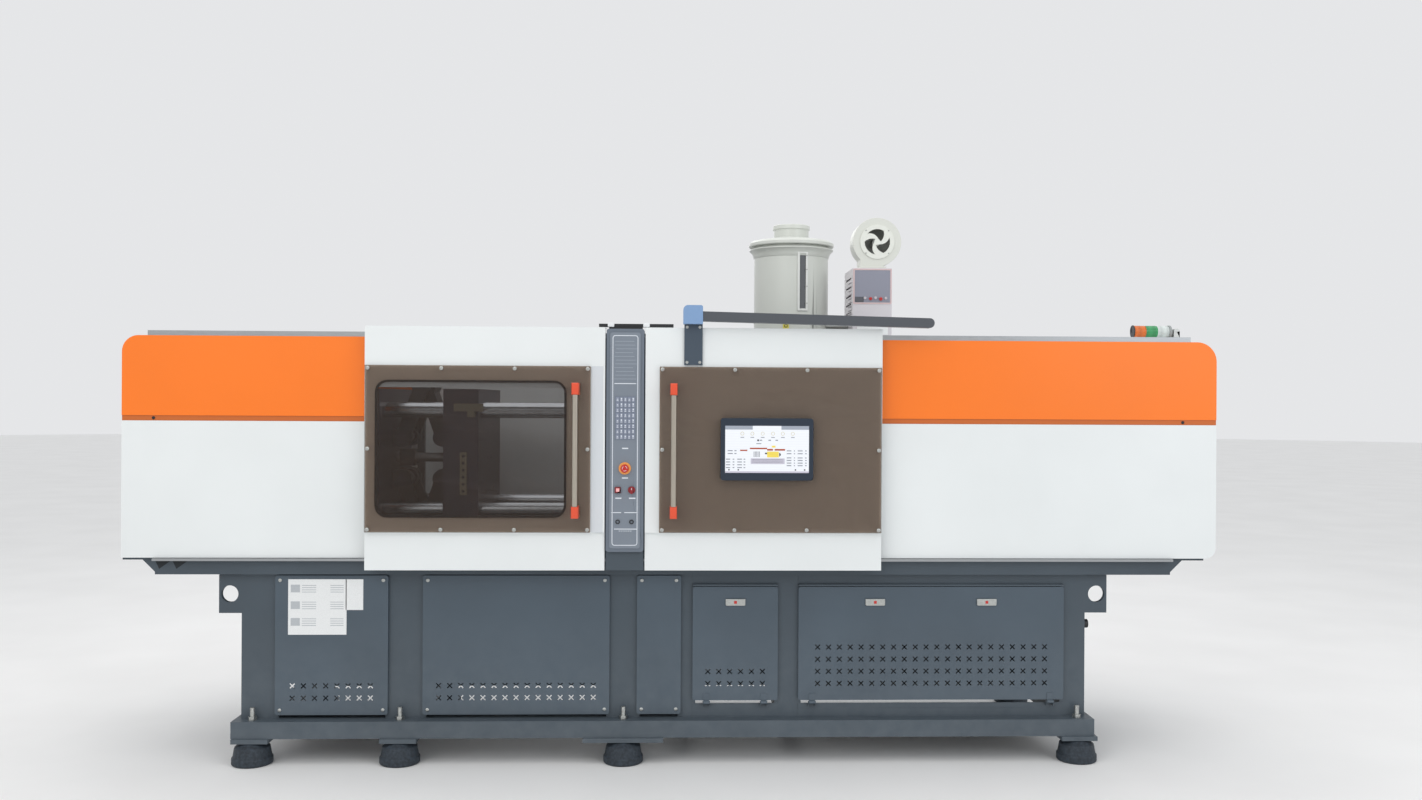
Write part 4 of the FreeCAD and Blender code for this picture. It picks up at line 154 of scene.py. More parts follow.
@kept
def handled_powder_coat(tree, place, colour, roughness, peel_mm):
    """Powder coat low on a machine: the same ripple, with pale dust that thickens towards the floor."""
    clouds = add_node(tree, "TexNoise", values={"Scale": per_metre(450.0), "Detail": 4.0},
                      links={"Vector": (place, "Object")})
    tint = add_node(tree, "ValToRGB", links={"Fac": (clouds, "Fac")},
                    stops=((0.28, shade(colour, 0.9)), (0.72, shade(colour, 1.08))))
    height = add_node(tree, "SeparateXYZ", links={"Vector": (place, "Object")})
    low = add_node(tree, "MapRange", values={"From Min": 0.0, "From Max": 0.75, "To Min": 0.30, "To Max": 0.0},
                   links={"Value": (height, "Z")})
    grit = add_node(tree, "TexNoise", values={"Scale": per_metre(60.0), "Detail": 6.0},
                    links={"Vector": (place, "Object")})
    amount = add_node(tree, "Math", settings={"operation": "MULTIPLY"},
                      links={0: (low, "Result"), 1: (grit, "Fac")})
    dusty = add_node(tree, "Mix", settings={"data_type": "RGBA"}, values={7: linear("#8E959A")},
                     links={0: (amount, "Value"), 6: (tint, "Color")})
    peel = add_node(tree, "TexNoise", values={"Scale": per_metre(peel_mm), "Detail": 2.0},
                    links={"Vector": (place, "Object")})
    bump = add_node(tree, "Bump", values={"Strength": 0.2, "Distance": 0.0008}, links={"Height": (peel, "Fac")})
    gloss = add_node(tree, "MapRange", values={"To Min": roughness - 0.05, "To Max": roughness + 0.1},
                     links={"Value": (grit, "Fac")})
    return add_node(tree, "BsdfPrincipled", links={"Base Color": (dusty, 2), "Roughness": (gloss, "Result"),
                                                   "Normal": (bump, "Normal")})


@kept
def moulded_plastic(tree, place, colour, roughness, grain_mm=1.6):
    """Injection-moulded ABS: satin skin with a fine spark-eroded grain."""
    grain = add_node(tree, "TexNoise", values={"Scale": per_metre(grain_mm), "Detail": 3.0},
                     links={"Vector": (place, "Object")})
    tint = add_node(tree, "ValToRGB", links={"Fac": (grain, "Fac")},
                    stops=((0.35, shade(colour, 0.93)), (0.65, shade(colour, 1.04))))
    bump = add_node(tree, "Bump", values={"Strength": 0.15, "Distance": 0.0002}, links={"Height": (grain, "Fac")})
    return add_node(tree, "BsdfPrincipled", values={"Roughness": roughness, "IOR": 1.53},
                    links={"Base Color": (tint, "Color"), "Normal": (bump, "Normal")})


@kept
def smoked_acrylic(tree, place, colour, alpha):
    """Cast acrylic sheet, tinted brown: mirror-smooth, slightly wavy, and dim to look through."""
    stretch = add_node(tree, "Mapping", values={"Scale": (1.0, 1.0, 2.2)}, links={"Vector": (place, "Object")})
    wave = add_node(tree, "TexNoise", values={"Scale": per_metre(520.0), "Detail": 1.5, "Distortion": 1.2},
                    links={"Vector": (stretch, "Vector")})
    tint = add_node(tree, "ValToRGB", links={"Fac": (wave, "Fac")},
                    stops=((0.3, shade(colour, 0.86)), (0.7, shade(colour, 1.12))))
    bump = add_node(tree, "Bump", values={"Strength": 0.5, "Distance": 0.012}, links={"Height": (wave, "Fac")})
    return add_node(tree, "BsdfPrincipled",
                    values={"Roughness": 0.06, "IOR": 1.49, "Alpha": alpha, "Specular IOR Level": 0.55},
                    links={"Base Color": (tint, "Color"), "Normal": (bump, "Normal")})


@kept
def brushed_metal(tree, place, colour, roughness, stroke_mm, along):
    """Metal brushed along one axis: fine drawn lines that stretch its highlights."""
    scale = [per_metre(stroke_mm)] * 3
    scale["XYZ".index(along)] = per_metre(stroke_mm * 60.0)
    stretch = add_node(tree, "Mapping", values={"Scale": tuple(scale)}, links={"Vector": (place, "Object")})
    lines = add_node(tree, "TexNoise", values={"Scale": 1.0, "Detail": 3.0}, links={"Vector": (stretch, "Vector")})
    tint = add_node(tree, "ValToRGB", links={"Fac": (lines, "Fac")},
                    stops=((0.3, shade(colour, 0.85)), (0.7, shade(colour, 1.08))))
    gloss = add_node(tree, "MapRange", values={"To Min": roughness - 0.08, "To Max": roughness + 0.12},
                     links={"Value": (lines, "Fac")})
    bump = add_node(tree, "Bump", values={"Strength": 0.1, "Distance": 0.0002}, links={"Height": (lines, "Fac")})
    return add_node(tree, "BsdfPrincipled", values={"Metallic": 1.0},
                    links={"Base Color": (tint, "Color"), "Roughness": (gloss, "Result"),
                           "Normal": (bump, "Normal")})


@kept
def zinc_plated_steel(tree, place, colour, roughness, spangle_mm=9.0):
    """Zinc on steel: grey metal with patches of slightly different brightness."""
    spangle = add_node(tree, "TexVoronoi", values={"Scale": per_metre(spangle_mm)},
                       links={"Vector": (place, "Object")})
    tint = add_node(tree, "ValToRGB", links={"Fac": (spangle, "Distance")},
                    stops=((0.0, shade(colour, 0.86)), (0.8, shade(colour, 1.06))))
    gloss = add_node(tree, "MapRange", values={"To Min": roughness - 0.06, "To Max": roughness + 0.1},
                     links={"Value": (spangle, "Distance")})
    return add_node(tree, "BsdfPrincipled", values={"Metallic": 1.0},
                    links={"Base Color": (tint, "Color"), "Roughness": (gloss, "Result")})


@kept
def painted_casting(tree, place, colour, roughness, grain_mm=3.0):
    """Enamel brushed over a sand casting: the sand's pits show through the paint."""
    sand = add_node(tree, "TexNoise", values={"Scale": per_metre(grain_mm), "Detail": 8.0},
                    links={"Vector": (place, "Object")})
    tint = add_node(tree, "ValToRGB", links={"Fac": (sand, "Fac")},
                    stops=((0.3, shade(colour, 0.8)), (0.7, shade(colour, 1.15))))
    bump = add_node(tree, "Bump", values={"Strength": 0.25, "Distance": 0.0008}, links={"Height": (sand, "Fac")})
    return add_node(tree, "BsdfPrincipled", values={"Roughness": roughness},
                    links={"Base Color": (tint, "Color"), "Normal": (bump, "Normal")})


@kept
def moulded_rubber(tree, place, colour):
    """Moulded nitrile rubber: matt black with a bloom of dust in its grain."""
    grain = add_node(tree, "TexNoise", values={"Scale": per_metre(14.0), "Detail": 7.0},
                     links={"Vector": (place, "Object")})
    tint = add_node(tree, "ValToRGB", links={"Fac": (grain, "Fac")},
                    stops=((0.35, shade(colour, 0.8)), (0.75, shade(colour, 1.9))))
    bump = add_node(tree, "Bump", values={"Strength": 0.3, "Distance": 0.0006}, links={"Height": (grain, "Fac")})
    return add_node(tree, "BsdfPrincipled", values={"Roughness": 0.68, "IOR": 1.52},
                    links={"Base Color": (tint, "Color"), "Normal": (bump, "Normal")})


@kept
def lit_field(tree, place, colour, strength):
    """One lit field of a display behind glass: even colour with faint level bands."""
    # the real rows of dots are 0.2 mm apart; one band here is 2 pi x 2 mm, so that it shows at all
    rows = add_node(tree, "TexWave", settings={"bands_direction": "Z"},
                    values={"Scale": per_metre(2.0) / WAVE_PHASE}, links={"Vector": (place, "Object")})
    tint = add_node(tree, "ValToRGB", links={"Fac": (rows, "Fac")},
                    stops=((0.0, shade(colour, 0.97)), (1.0, colour)))
    return add_node(tree, "BsdfPrincipled", values={"Roughness": 0.25, "Emission Strength": strength},
                    links={"Base Color": (tint, "Color"), "Emission Color": (tint, "Color")})


@kept
def tinted_lens(tree, place, colour, alpha):
    """Moulded polycarbonate lens: clear colour with soft bands that break up the light."""
    # real prisms are a few mm wide; the mesh has ribs about 10 mm apart, and one band here is 2 pi x 6 mm
    ribs = add_node(tree, "TexWave", settings={"bands_direction": "X"},
                    values={"Scale": per_metre(6.0) / WAVE_PHASE}, links={"Vector": (place, "Object")})
    tint = add_node(tree, "ValToRGB", links={"Fac": (ribs, "Fac")},
                    stops=((0.0, shade(colour, 0.82)), (1.0, colour)))
    bump = add_node(tree, "Bump", values={"Strength": 0.4, "Distance": 0.0008}, links={"Height": (ribs, "Fac")})
    return add_node(tree, "BsdfPrincipled", values={"Roughness": 0.16, "IOR": 1.58, "Alpha": alpha},
                    links={"Base Color": (tint, "Color"), "Normal": (bump, "Normal")})


@kept
def matt_floor_paint(tree, place, colour):
    """Matt floor paint: one pale tone with broad clouds that are barely lighter."""
    clouds = add_node(tree, "TexNoise", values={"Scale": per_metre(900.0), "Detail": 3.0},
                      links={"Vector": (place, "Object")})
    tint = add_node(tree, "ValToRGB", links={"Fac": (clouds, "Fac")},
                    stops=((0.3, colour), (0.7, linear("#F2F2F1"))))
    return add_node(tree, "BsdfPrincipled", values={"Roughness": 0.75}, links={"Base Color": (tint, "Color")})


# ---------------------------------------------------------------- meshes
AXES = {"X": Vector((1, 0, 0)), "Y": Vector((0, 1, 0)), "Z": Vector((0, 0, 1))}
FRONT, REAR = Vector((0, -1, 0)), Vector((0, 1, 0))
SHARP_ANGLE = math.radians(32.0)
ROUNDED_ANGLE = math.radians(40.0)
RING_STEPS = 96


def publish(name, mesh_data, material):
    """Turns a bmesh into an object with its material, smooth except at sharp edges."""
    mesh = bpy.data.meshes.new(name)
    mesh_data.to_mesh(mesh)
    mesh_data.free()
    mesh.shade_smooth()
    mesh.set_sharp_from_angle(angle=SHARP_ANGLE)
    mesh.materials.append(material)
    made = bpy.data.objects.new(name, mesh)
    bpy.context.scene.collection.objects.link(made)
    return made


def attach(made, body, slot, *replaced):
    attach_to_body(made, body)
    if replaced:
        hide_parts(*replaced)
    return made


def add_box(data, low, high, radius=0.0, segments=2):
    """Box between two corners, its edges rounded when radius is given."""
    low, high = Vector(low), Vector(high)
    middle, size = (low + high) / 2.0, high - low
    made = bmesh.ops.create_cube(data, size=1.0, matrix=Matrix.Translation(middle) @ Matrix.Diagonal((*size, 1.0)))
    if radius > 0.0:
        edges = list({e for v in made["verts"] for e in v.link_edges})
        bmesh.ops.bevel(data, geom=edges, offset=min(radius, min(size) * 0.45), segments=segments, affect="EDGES")


def add_turned(data, origin, axis, profile, steps=28):
    """Solid of revolution: profile is (radius, distance along axis) from one end to the other."""
    along = AXES[axis] if isinstance(axis, str) else Vector(axis).normalized()
    side = along.orthogonal().normalized()
    other = along.cross(side)
    turns = [2 * math.pi * i / steps for i in range(steps)]
    rings = []
    for radius, reach in profile:
        centre = Vector(origin) + along * reach
        if radius <= 0.0:
            rings.append([data.verts.new(centre)])
            continue
        rings.append([data.verts.new(centre + side * radius * math.cos(t) + other * radius * math.sin(t))
                      for t in turns])
    for near, far in zip(rings, rings[1:]):
        for i in range(steps):
            j = (i + 1) % steps
            corners = [near[i % len(near)], near[j % len(near)], far[j % len(far)], far[i % len(far)]]
            unique = list(dict.fromkeys(corners))
            if len(unique) > 2:
                data.faces.new(unique)
    for ring in (rings[0], rings[-1]):
        if len(ring) > 2:
            data.faces.new(ring)
    bmesh.ops.recalc_face_normals(data, faces=data.faces)


def level_ring(data, centre_x, radius, z):
    """Vertices of a level circle whose centre is at y 0."""
    turns = [2 * math.pi * i / RING_STEPS for i in range(RING_STEPS)]
    return [data.verts.new((centre_x + radius * math.cos(t), radius * math.sin(t), z)) for t in turns]


def add_skin(data, rings, gap=()):
    """Faces from each closed ring of vertices to the next and from the last to the first, apart from the steps
    in gap."""
    for near, far in zip(rings, rings[1:] + rings[:1]):
        for i in range(len(near)):
            if i not in gap:
                j = (i + 1) % len(near)
                data.faces.new((near[i], near[j], far[j], far[i]))


def add_prism(data, outline, front, back):
    """Solid with an XZ outline between two Y planes."""
    near, far = [[data.verts.new((x, y, z)) for x, z in outline] for y in (front, back)]
    data.faces.new(near)
    data.faces.new(far[::-1])
    for i in range(len(near)):
        j = (i + 1) % len(near)
        data.faces.new((near[i], far[i], far[j], near[j]))


def boxes(name, spans, radius, material, segments=2):
    """One object from several boxes, each (low corner, high corner)."""
    data = bmesh.new()
    for low, high in spans:
        add_box(data, low, high, radius, segments)
    return publish(name, data, material)


def turned(name, parts, material, steps=28):
    """One object from several turned solids, each (origin, axis, profile)."""
    data = bmesh.new()
    for origin, axis, profile in parts:
        add_turned(data, origin, axis, profile, steps)
    return publish(name, data, material)


def solids_of(node):
    """The solids of a CAD node: a welded copy of its mesh, and the faces of each solid."""
    data = bmesh.new()
    data.from_mesh(frame["nodes"][node].data)
    bmesh.ops.remove_doubles(data, verts=data.verts, dist=1e-6)
    data.verts.index_update()
    data.faces.index_update()
    seen, groups = set(), []
    for first in data.faces:
        if first.index in seen:
            continue
        seen.add(first.index)
        group, queue = [], [first]
        while queue:
            face = queue.pop()
            group.append(face)
            for near in (f for edge in face.edges for f in edge.link_faces):
                if near.index not in seen:
                    seen.add(near.index)
                    queue.append(near)
        groups.append(group)
    return data, groups


def extent(group):
    points = [v.co for face in group for v in face.verts]
    low = Vector([min(p[i] for p in points) for i in range(3)])
    high = Vector([max(p[i] for p in points) for i in range(3)])
    return low, high


def extents_of(node):
    """Low and high corner of each solid of a CAD node."""
    data, groups = solids_of(node)
    found = [extent(group) for group in groups]
    data.free()
    return found


def home(node):
    """Body and material slot of a CAD node, as the record gives them."""
    return body_of(frame["nodes"][node])[0], SLOTS[node]


def carve(node, choose, looks, edge=0.0008):
    """Shows a CAD node as finer pieces. choose(low, high) names each solid's piece, or None to leave it to a
    finer piece made elsewhere; looks gives each piece's material."""
    data, groups = solids_of(node)
    picked = {}
    for group in groups:
        picked.setdefault(choose(*extent(group)), []).extend(group)
    for name, faces in picked.items():
        if name is None:
            continue
        piece = bmesh.new()
        copies = {}
        for face in faces:
            for vert in face.verts:
                if vert.index not in copies:
                    copies[vert.index] = piece.verts.new(vert.co)
            piece.faces.new([copies[vert.index] for vert in face.verts])
        bmesh.ops.dissolve_limit(piece, angle_limit=0.002, verts=piece.verts, edges=piece.edges)
        shown = publish(name, piece, looks[name])
        soften(shown, edge)
        attach(shown, *home(node), node)
    data.free()


def reface(node, material, edge=0.0008):
    """Shows a CAD node as one welded piece with its edges rounded."""
    name = node + "_shown"
    carve(node, lambda low, high: name, {name: material}, edge)


def soften(shown, width):
    """Rounds an object's sharp edges by width, so that they catch the light."""
    if width <= 0.0:
        return
    rounding = shown.modifiers.new("edge rounding", "BEVEL")
    rounding.width = width
    rounding.segments = 2
    rounding.limit_method = "ANGLE"
    rounding.angle_limit = ROUNDED_ANGLE
    rounding.use_clamp_overlap = False
    rounding.harden_normals = False


def dress(node, material):
    """Gives a CAD node its material."""
    shown = frame["nodes"][node]
    shown.data.materials.clear()
    shown.data.materials.append(material)


def screw_head(radius, height):
    """Profile of a button head, from its seat outwards."""
    return ((radius, 0.0), (radius, height * 0.45), (radius * 0.82, height * 0.82), (radius * 0.5, height),
            (radius * 0.42, height), (radius * 0.42, height * 0.35), (0.0, height * 0.35))


def add_frame(data, low, high, margins, depth, radii, steps=6):
    """Plate in an XZ plane between outer corners (x, z) with a rounded hole: margins are left, bottom, right and
    top, depth is (front y, back y) and radii are outer and inner."""
    def loop(inset, r, y):
        x0, z0, x1, z1 = low[0] + inset[0], low[1] + inset[1], high[0] - inset[2], high[1] - inset[3]
        corners = ((x1 - r, z1 - r, 0), (x0 + r, z1 - r, 90), (x0 + r, z0 + r, 180), (x1 - r, z0 + r, 270))
        turns = [(cx, cz, math.radians(start + 90.0 * i / steps)) for cx, cz, start in corners
                 for i in range(steps + 1)]
        return [data.verts.new((cx + r * math.cos(t), y, cz + r * math.sin(t))) for cx, cz, t in turns]
    flush, (near, far) = (0.0,) * 4, depth
    add_skin(data, [loop(flush, radii[0], near), loop(flush, radii[0], far), loop(margins, radii[1], far),
                    loop(margins, radii[1], near)])
    bmesh.ops.recalc_face_normals(data, faces=data.faces)


def ring_around(name, low, high, width, depth, radius, material):
    """Rounded frame of even width between outer corners (x, z)."""
    data = bmesh.new()
    add_frame(data, low, high, (width,) * 4, depth, (radius, max(radius - width, 0.0004)))
    return publish(name, data, material)


# ---------------------------------------------------------------- what a user would change
def paint(name, description, default):
    return bpy.props.StringProperty(name=name, description=description, default=default)


class MouldingPaint(bpy.types.PropertyGroup):
    """Colours of the painted, moulded and printed surfaces, as sRGB hex."""
    orange: paint("Hood orange", "Powder coat of the upper hoods", "#FB7A08")
    white: paint("Cover white", "Powder coat of hoods and gates", "#E6EAEA")
    slate: paint("Bed slate", "Powder coat of the bed's frame", "#434E57")
    panel: paint("Panel slate", "Powder coat of bed covers", "#485560")
    column: paint("Column grey", "Paint of the column", "#79828D")
    smoke: paint("Window tint", "Tint of the acrylic windows", "#33261C")
    hopper: paint("Hopper grey", "Enamel of the hopper", "#D2D5CE")
    handle: paint("Handle ends", "Plastic of the handles' ends", "#E2502E")
    arm: paint("Duct arm", "Paint of the duct arm", "#4A4E54")
    elbow: paint("Duct elbow", "Paint of the duct's elbow", "#7C9CC4")


class MouldingSizes(bpy.types.PropertyGroup):
    """Sizes of the fine detail."""
    screw: bpy.props.FloatProperty(name="Cover screw", description="Radius of a cover screw's head", default=0.009,
                                   min=0.004, max=0.012, unit="LENGTH")
    key_pitch: bpy.props.FloatVectorProperty(name="Key pitch", description="Keypad pitch across and up", size=2,
                                             default=(0.0192, 0.0262), unit="LENGTH")
    peel: bpy.props.FloatProperty(name="Coating ripple", default=6.0, min=2.0, max=20.0,
                                  description="Width of one ripple of the powder coat, in mm")
    window_alpha: bpy.props.FloatProperty(name="Window density", description="How much the windows hide",
                                          default=0.4, min=0.0, max=1.0, subtype="FACTOR")


def colours():
    return bpy.context.scene.moulding_paint


def sizes():
    return bpy.context.scene.moulding_sizes


def white_coat():
    return powder_coated_steel("white powder coat", colours().white, 0.32, sizes().peel)


def slate_coat():
    return handled_powder_coat("slate powder coat", colours().slate, 0.46, sizes().peel)


def panel_coat():
    return handled_powder_coat("slate panel powder coat", colours().panel, 0.44, sizes().peel)


def zinc():
    return zinc_plated_steel("bright zinc plate", "#B9BBB8", 0.34)


def ground_steel():
    return brushed_metal("ground steel", "#9A9B9C", 0.32, 0.6, "X")


def black_plastic():
    return moulded_plastic("black ABS", "#16181C", 0.4)


def red_plastic():
    return moulded_plastic("signal red ABS", "#C2231C", 0.3)


def white_print():
    return moulded_plastic("white screen print", "#DDE3EA", 0.4)


def white_vinyl():
    return moulded_plastic("white printed vinyl", "#E8EAEA", 0.45, 2.0)


def iron():
    return painted_casting("violet-grey enamel on iron", "#45414F", 0.45)


# ---------------------------------------------------------------- the pieces, one operator each
PRINT_RISE, PRINT_SUNK = 0.0004, 0.0003  # how far a printed field stands proud of its face and reaches into it


class MOULDING_OT_bed(bpy.types.Operator):
    """Bed frame, rails and lifting eyes, with the creases of the top beam, painted shadow where its pockets are
    and a painted highlight along its lip
    """
    bl_idname = "moulding.bed"
    bl_label = "Bed frame"

    def execute(self, context):
        for node in ("bed_frame", "bed_rails", "lifting_eyes", "guard_frame"):
            dress(node, slate_coat())
        low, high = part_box("bed_frame")
        face = low.y
        front, back = face - 0.0003, face + 0.0004
        # the pockets are not cut: thin near-black prisms on the beam's face are painted shadow for the shade
        # inside them
        data = bmesh.new()
        for x in (low.x + 0.178, low.x + 0.262):
            add_prism(data, [(x, 0.962), (x + 0.058, 1.004), (x - 0.02, 1.004)], front, back)
        bmesh.ops.recalc_face_normals(data, faces=data.faces)
        attach(publish("beam_pockets", data, painted_casting("shadowed pocket in slate", "#1D2328", 0.7)),
               "root", "slate_paint")
        data = bmesh.new()
        lean = 0.12 / 0.042  # a crease moves this far along the beam for each unit of height
        for x in (high.x - 0.36, high.x - 0.30):
            add_box(data, (x, front, 0.9595), (x + 0.0045, back, 1.0015))
            for corner in data.verts[:][-8:]:
                corner.co.x += (corner.co.z - 0.96) * lean
        attach(publish("beam_creases", data, panel_coat()), "root", "slate_paint")
        # the pale band on both faces of the beam is painted highlight: the light on the lip's upward face, drawn
        # as a lighter slate
        left, right, bottom, top = low.x + 0.16, high.x - 0.17, 1.0085, 1.0165
        lip = boxes("beam_lip", [((left, face - 0.0008, bottom), (right, face + 0.0004, top)),
                                 ((left, -face - 0.0004, bottom), (right, -face + 0.0008, top))],
                    0.0003, powder_coated_steel("light slate lip", "#8E979D", 0.4))
        attach(lip, "root", "slate_paint")
        return {"FINISHED"}


class MOULDING_OT_covers(bpy.types.Operator):
    """Bed covers, cabinet doors and their latches, and the button-head screws that hold them"""
    bl_idname = "moulding.covers"
    bl_label = "Bed covers and doors"

    def execute(self, context):
        for node in ("base_panels", "small_cabinet_door", "large_cabinet_door"):
            dress(node, panel_coat())
        front, back = -0.562, -0.560  # of the strips above and below the doors
        strips = []
        for door in ("small_cabinet_door", "large_cabinet_door"):
            low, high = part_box(door)
            strips += [((low.x, front, bottom), (high.x, back, top)) for bottom, top in ((0.883, 0.936),
                                                                                         (0.213, 0.257))]
        attach(boxes("door_headers", strips, 0.0005, slate_coat()), "root", "slate_paint")

        def is_screw(low, high):
            return max(high - low) < 0.025
        carve("cover_fixings", lambda low, high: None if is_screw(low, high) else "door_lips",
              {"door_lips": slate_coat()})
        heads = []
        for low, high in extents_of("cover_fixings"):
            if is_screw(low, high):
                outward, seat = (FRONT, high.y) if low.y < 0 else (REAR, low.y)
                middle = (low + high) / 2.0
                heads.append((Vector((middle.x, seat, middle.z)), outward,
                              screw_head(sizes().screw, high.y - low.y)))
        attach(turned("cover_screws", heads, zinc(), 20), "root", "zinc_steel", "cover_fixings")
        carve("electrical_cabinet",
              lambda low, high: "gland" if low.x > 2.0 else "mounting_sheet" if high.x - low.x > 1.0 else "drives",
              {"gland": black_plastic(), "mounting_sheet": zinc(),
               "drives": moulded_plastic("grey ABS drive case", "#5B6066", 0.45)})
        for node, body in (("small_door_latch", "small_latch"), ("large_door_latch_left", "large_latch_left"),
                           ("large_door_latch_right", "large_latch_right")):
            reface(node, zinc(), 0.0006)
            low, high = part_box(node)
            middle, half = (low + high) / 2.0, (high.z - low.z) * 0.21
            square = ((middle.x - half, low.y - 0.0004, middle.z - half),
                      (middle.x + half, low.y + 0.0004, middle.z + half))
            attach(boxes(node + "_mark", [square], 0.0003, red_plastic()), body, "control_red")
        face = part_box("base_panels")[0].y
        sheet = [((-1.928, face - 0.0008, 0.632), (-1.640, face + 0.0004, 0.908)),
                 ((-1.645, face - 0.0008, 0.755), (-1.558, face + 0.0004, 0.908))]
        attach(boxes("panel_plate", sheet, 0.0003, white_vinyl()), "root", "white_paint")
        fields = []
        for top in (0.893 - row * 0.083 for row in range(3)):
            fields.append((-1.915, -1.870, top - 0.05, top - 0.012))
            for z in (top - 0.014 - line * 0.011 for line in range(4)):
                fields += [(-1.860, -1.79, z - 0.0035, z), (-1.72, -1.655, z - 0.0035, z)]
        bars = [((x0, face - 0.0011, z0), (x1, face - 0.0006, z1)) for x0, x1, z0, z1 in fields]
        attach(boxes("panel_plate_bars", bars, 0.0, moulded_plastic("grey printed bars", "#B6BBBF", 0.5, 2.0)),
               "root", "white_paint")
        return {"FINISHED"}


class MOULDING_OT_feet(bpy.types.Operator):
    """Rubber levelling mounts with their brackets and threaded studs"""
    bl_idname = "moulding.feet"
    bl_label = "Feet"

    def execute(self, context):
        reface("machine_mounts", moulded_rubber("moulded nitrile rubber", "#262E36"), 0.002)
        carve("foot_brackets", lambda low, high: "mount_brackets" if high.x - low.x > 0.1 else "mount_studs",
              {"mount_brackets": slate_coat(), "mount_studs": zinc()})
        start, pitch, crest = 0.024, 0.0009, 0.0004
        threads = []
        for low, high in extents_of("foot_brackets"):
            middle, radius = (low + high) / 2.0, (high.x - low.x) / 2.0
            if radius < 0.015:
                turns = [(radius + (crest if i % 2 else 0.0), start + i * pitch) for i in range(20)]
                ends = (radius - 0.003, start), (radius - 0.003, 0.0421)
                threads.append((Vector((middle.x, middle.y, high.z - 0.045)), "Z", [ends[0]] + turns + [ends[1]]))
        attach(turned("stud_threads", threads, zinc(), 20), "root", "zinc_steel")
        return {"FINISHED"}


class MOULDING_OT_hoods(bpy.types.Operator):
    """Orange and white hoods with the recessed seam strip between them, in a darker orange as painted shade, its
    black screws, and the gate rails
    """
    bl_idname = "moulding.hoods"
    bl_label = "Hoods"

    def execute(self, context):
        # the seam strips take a darker orange than the hoods: painted shade for the shade in the recessed seam
        carve("hood_orange_panels", lambda low, high: "hood_seams" if high.z - low.z < 0.03 else "hood_tops",
              {"hood_seams": powder_coated_steel("shaded orange coat", "#C9651A", 0.4),
               "hood_tops": powder_coated_steel("orange powder coat", colours().orange, 0.34, sizes().peel)}, 0.0)
        dress("hood_white_panels", white_coat())
        low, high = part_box("hood_orange_panels")
        seam = [(Vector((x, side * (high.y - 0.005), low.z + 0.013)), Vector((0, side, 0)),
                 screw_head(0.008, 0.0035)) for x in (low.x + 0.153, high.x - 0.171) for side in (-1, 1)]
        attach(turned("seam_screws", seam, black_plastic(), 20), "root", "zinc_steel")
        reface("gate_rails", brushed_metal("drawn aluminium rail", "#A9ACAE", 0.3, 0.8, "X"), 0.0006)
        return {"FINISHED"}


class MOULDING_OT_gates(bpy.types.Operator):
    """Sliding gates: folded sheet, guide shoes, smoked windows, window screws and grab handles"""
    bl_idname = "moulding.gates"
    bl_label = "Gates"

    def execute(self, context):
        white, acetal = white_coat(), moulded_plastic("black acetal", "#202224", 0.35)
        ends = moulded_plastic("orange-red handle ABS", colours().handle, 0.3)
        tube = brushed_metal("anodised aluminium tube", "#B9B1A4", 0.3, 0.8, "Z")
        smoke = smoked_acrylic("smoked acrylic sheet", colours().smoke, sizes().window_alpha)
        for side in ("clamp", "nozzle"):
            gate, window = side + "_gate", side + "_gate_window"
            sheet, shoes, plate, studs = (side + part for part in ("_sheet", "_shoes", "_plate", "_window_studs"))
            carve(gate + "_panel", lambda low, high: sheet if high.z - low.z > 0.5 else shoes,
                  {sheet: white, shoes: acetal}, 0.0)
            carve(window, lambda low, high: plate if high.x - low.x > 0.5 else studs if high.y > -0.705 else None,
                  {plate: smoke, studs: zinc()})
            heads = [(Vector(((low.x + high.x) / 2.0, high.y, (low.z + high.z) / 2.0)), FRONT,
                      screw_head(0.0098, high.y - low.y))
                     for low, high in extents_of(window) if high.x - low.x < 0.1 and high.y < -0.71]
            attach(turned(side + "_window_screws", heads, zinc(), 24), gate, "zinc_steel", window)
            grips, bar = side + "_handle_ends", side + "_handle_bar"
            carve(gate + "_handle", lambda low, high: grips if high.z - low.z < 0.1 else bar,
                  {grips: ends, bar: tube}, 0.0012)
            sheet, shoes, grips, bar = ("rear_" + part for part in (sheet, shoes, grips, bar))
            carve("rear_" + gate,
                  lambda low, high: sheet if high.z - low.z > 1.0 else shoes if high.x - low.x > 0.06
                  else grips if high.z - low.z < 0.1 else bar,
                  {sheet: white, shoes: acetal, grips: ends, bar: tube}, 0.0)
        low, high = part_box("clamp_gate_window")
        back = -0.6995  # of the flat fields that lie on the gates' sheets
        # the grey strip right of the clamp window is painted shade: a flat field that stands for the darker
        # chamfered fold of the sheet there
        strip = boxes("clamp_gate_strip", [((high.x + 0.002, -0.7025, low.z), (high.x + 0.060, back, high.z))],
                      0.0006, powder_coated_steel("light grey strip", "#D3D8DC", 0.36))
        attach(strip, "clamp_gate", "white_paint")
        film, film_front, inset = moulded_plastic("cream polyester film", "#EBD3BC", 0.4, 3.0), -0.7012, 0.001
        data = bmesh.new()
        add_frame(data, (low.x + inset, low.z + inset), (high.x - inset, high.z - inset),
                  (0.052, 0.076, 0.122, 0.076), (film_front, back), (0.002, 0.052))
        attach(publish("clamp_window_film", data, film), "clamp_gate", "smoked_acrylic")
        seal_corners = (low.x + 0.048, low.z + 0.072), (high.x - 0.118, high.z - 0.072)
        low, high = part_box("nozzle_gate_window")
        backing = boxes("nozzle_window_film", [((low.x + inset, film_front, low.z + inset),
                                                (high.x - inset, back, high.z - inset))], 0.0005, film)
        attach(backing, "nozzle_gate", "smoked_acrylic")
        seal = ring_around("clamp_window_seal", *seal_corners, 0.011, (-0.7092, back), 0.06,
                           moulded_rubber("black window seal", "#141519"))
        attach(seal, "clamp_gate", "rubber")
        return {"FINISHED"}


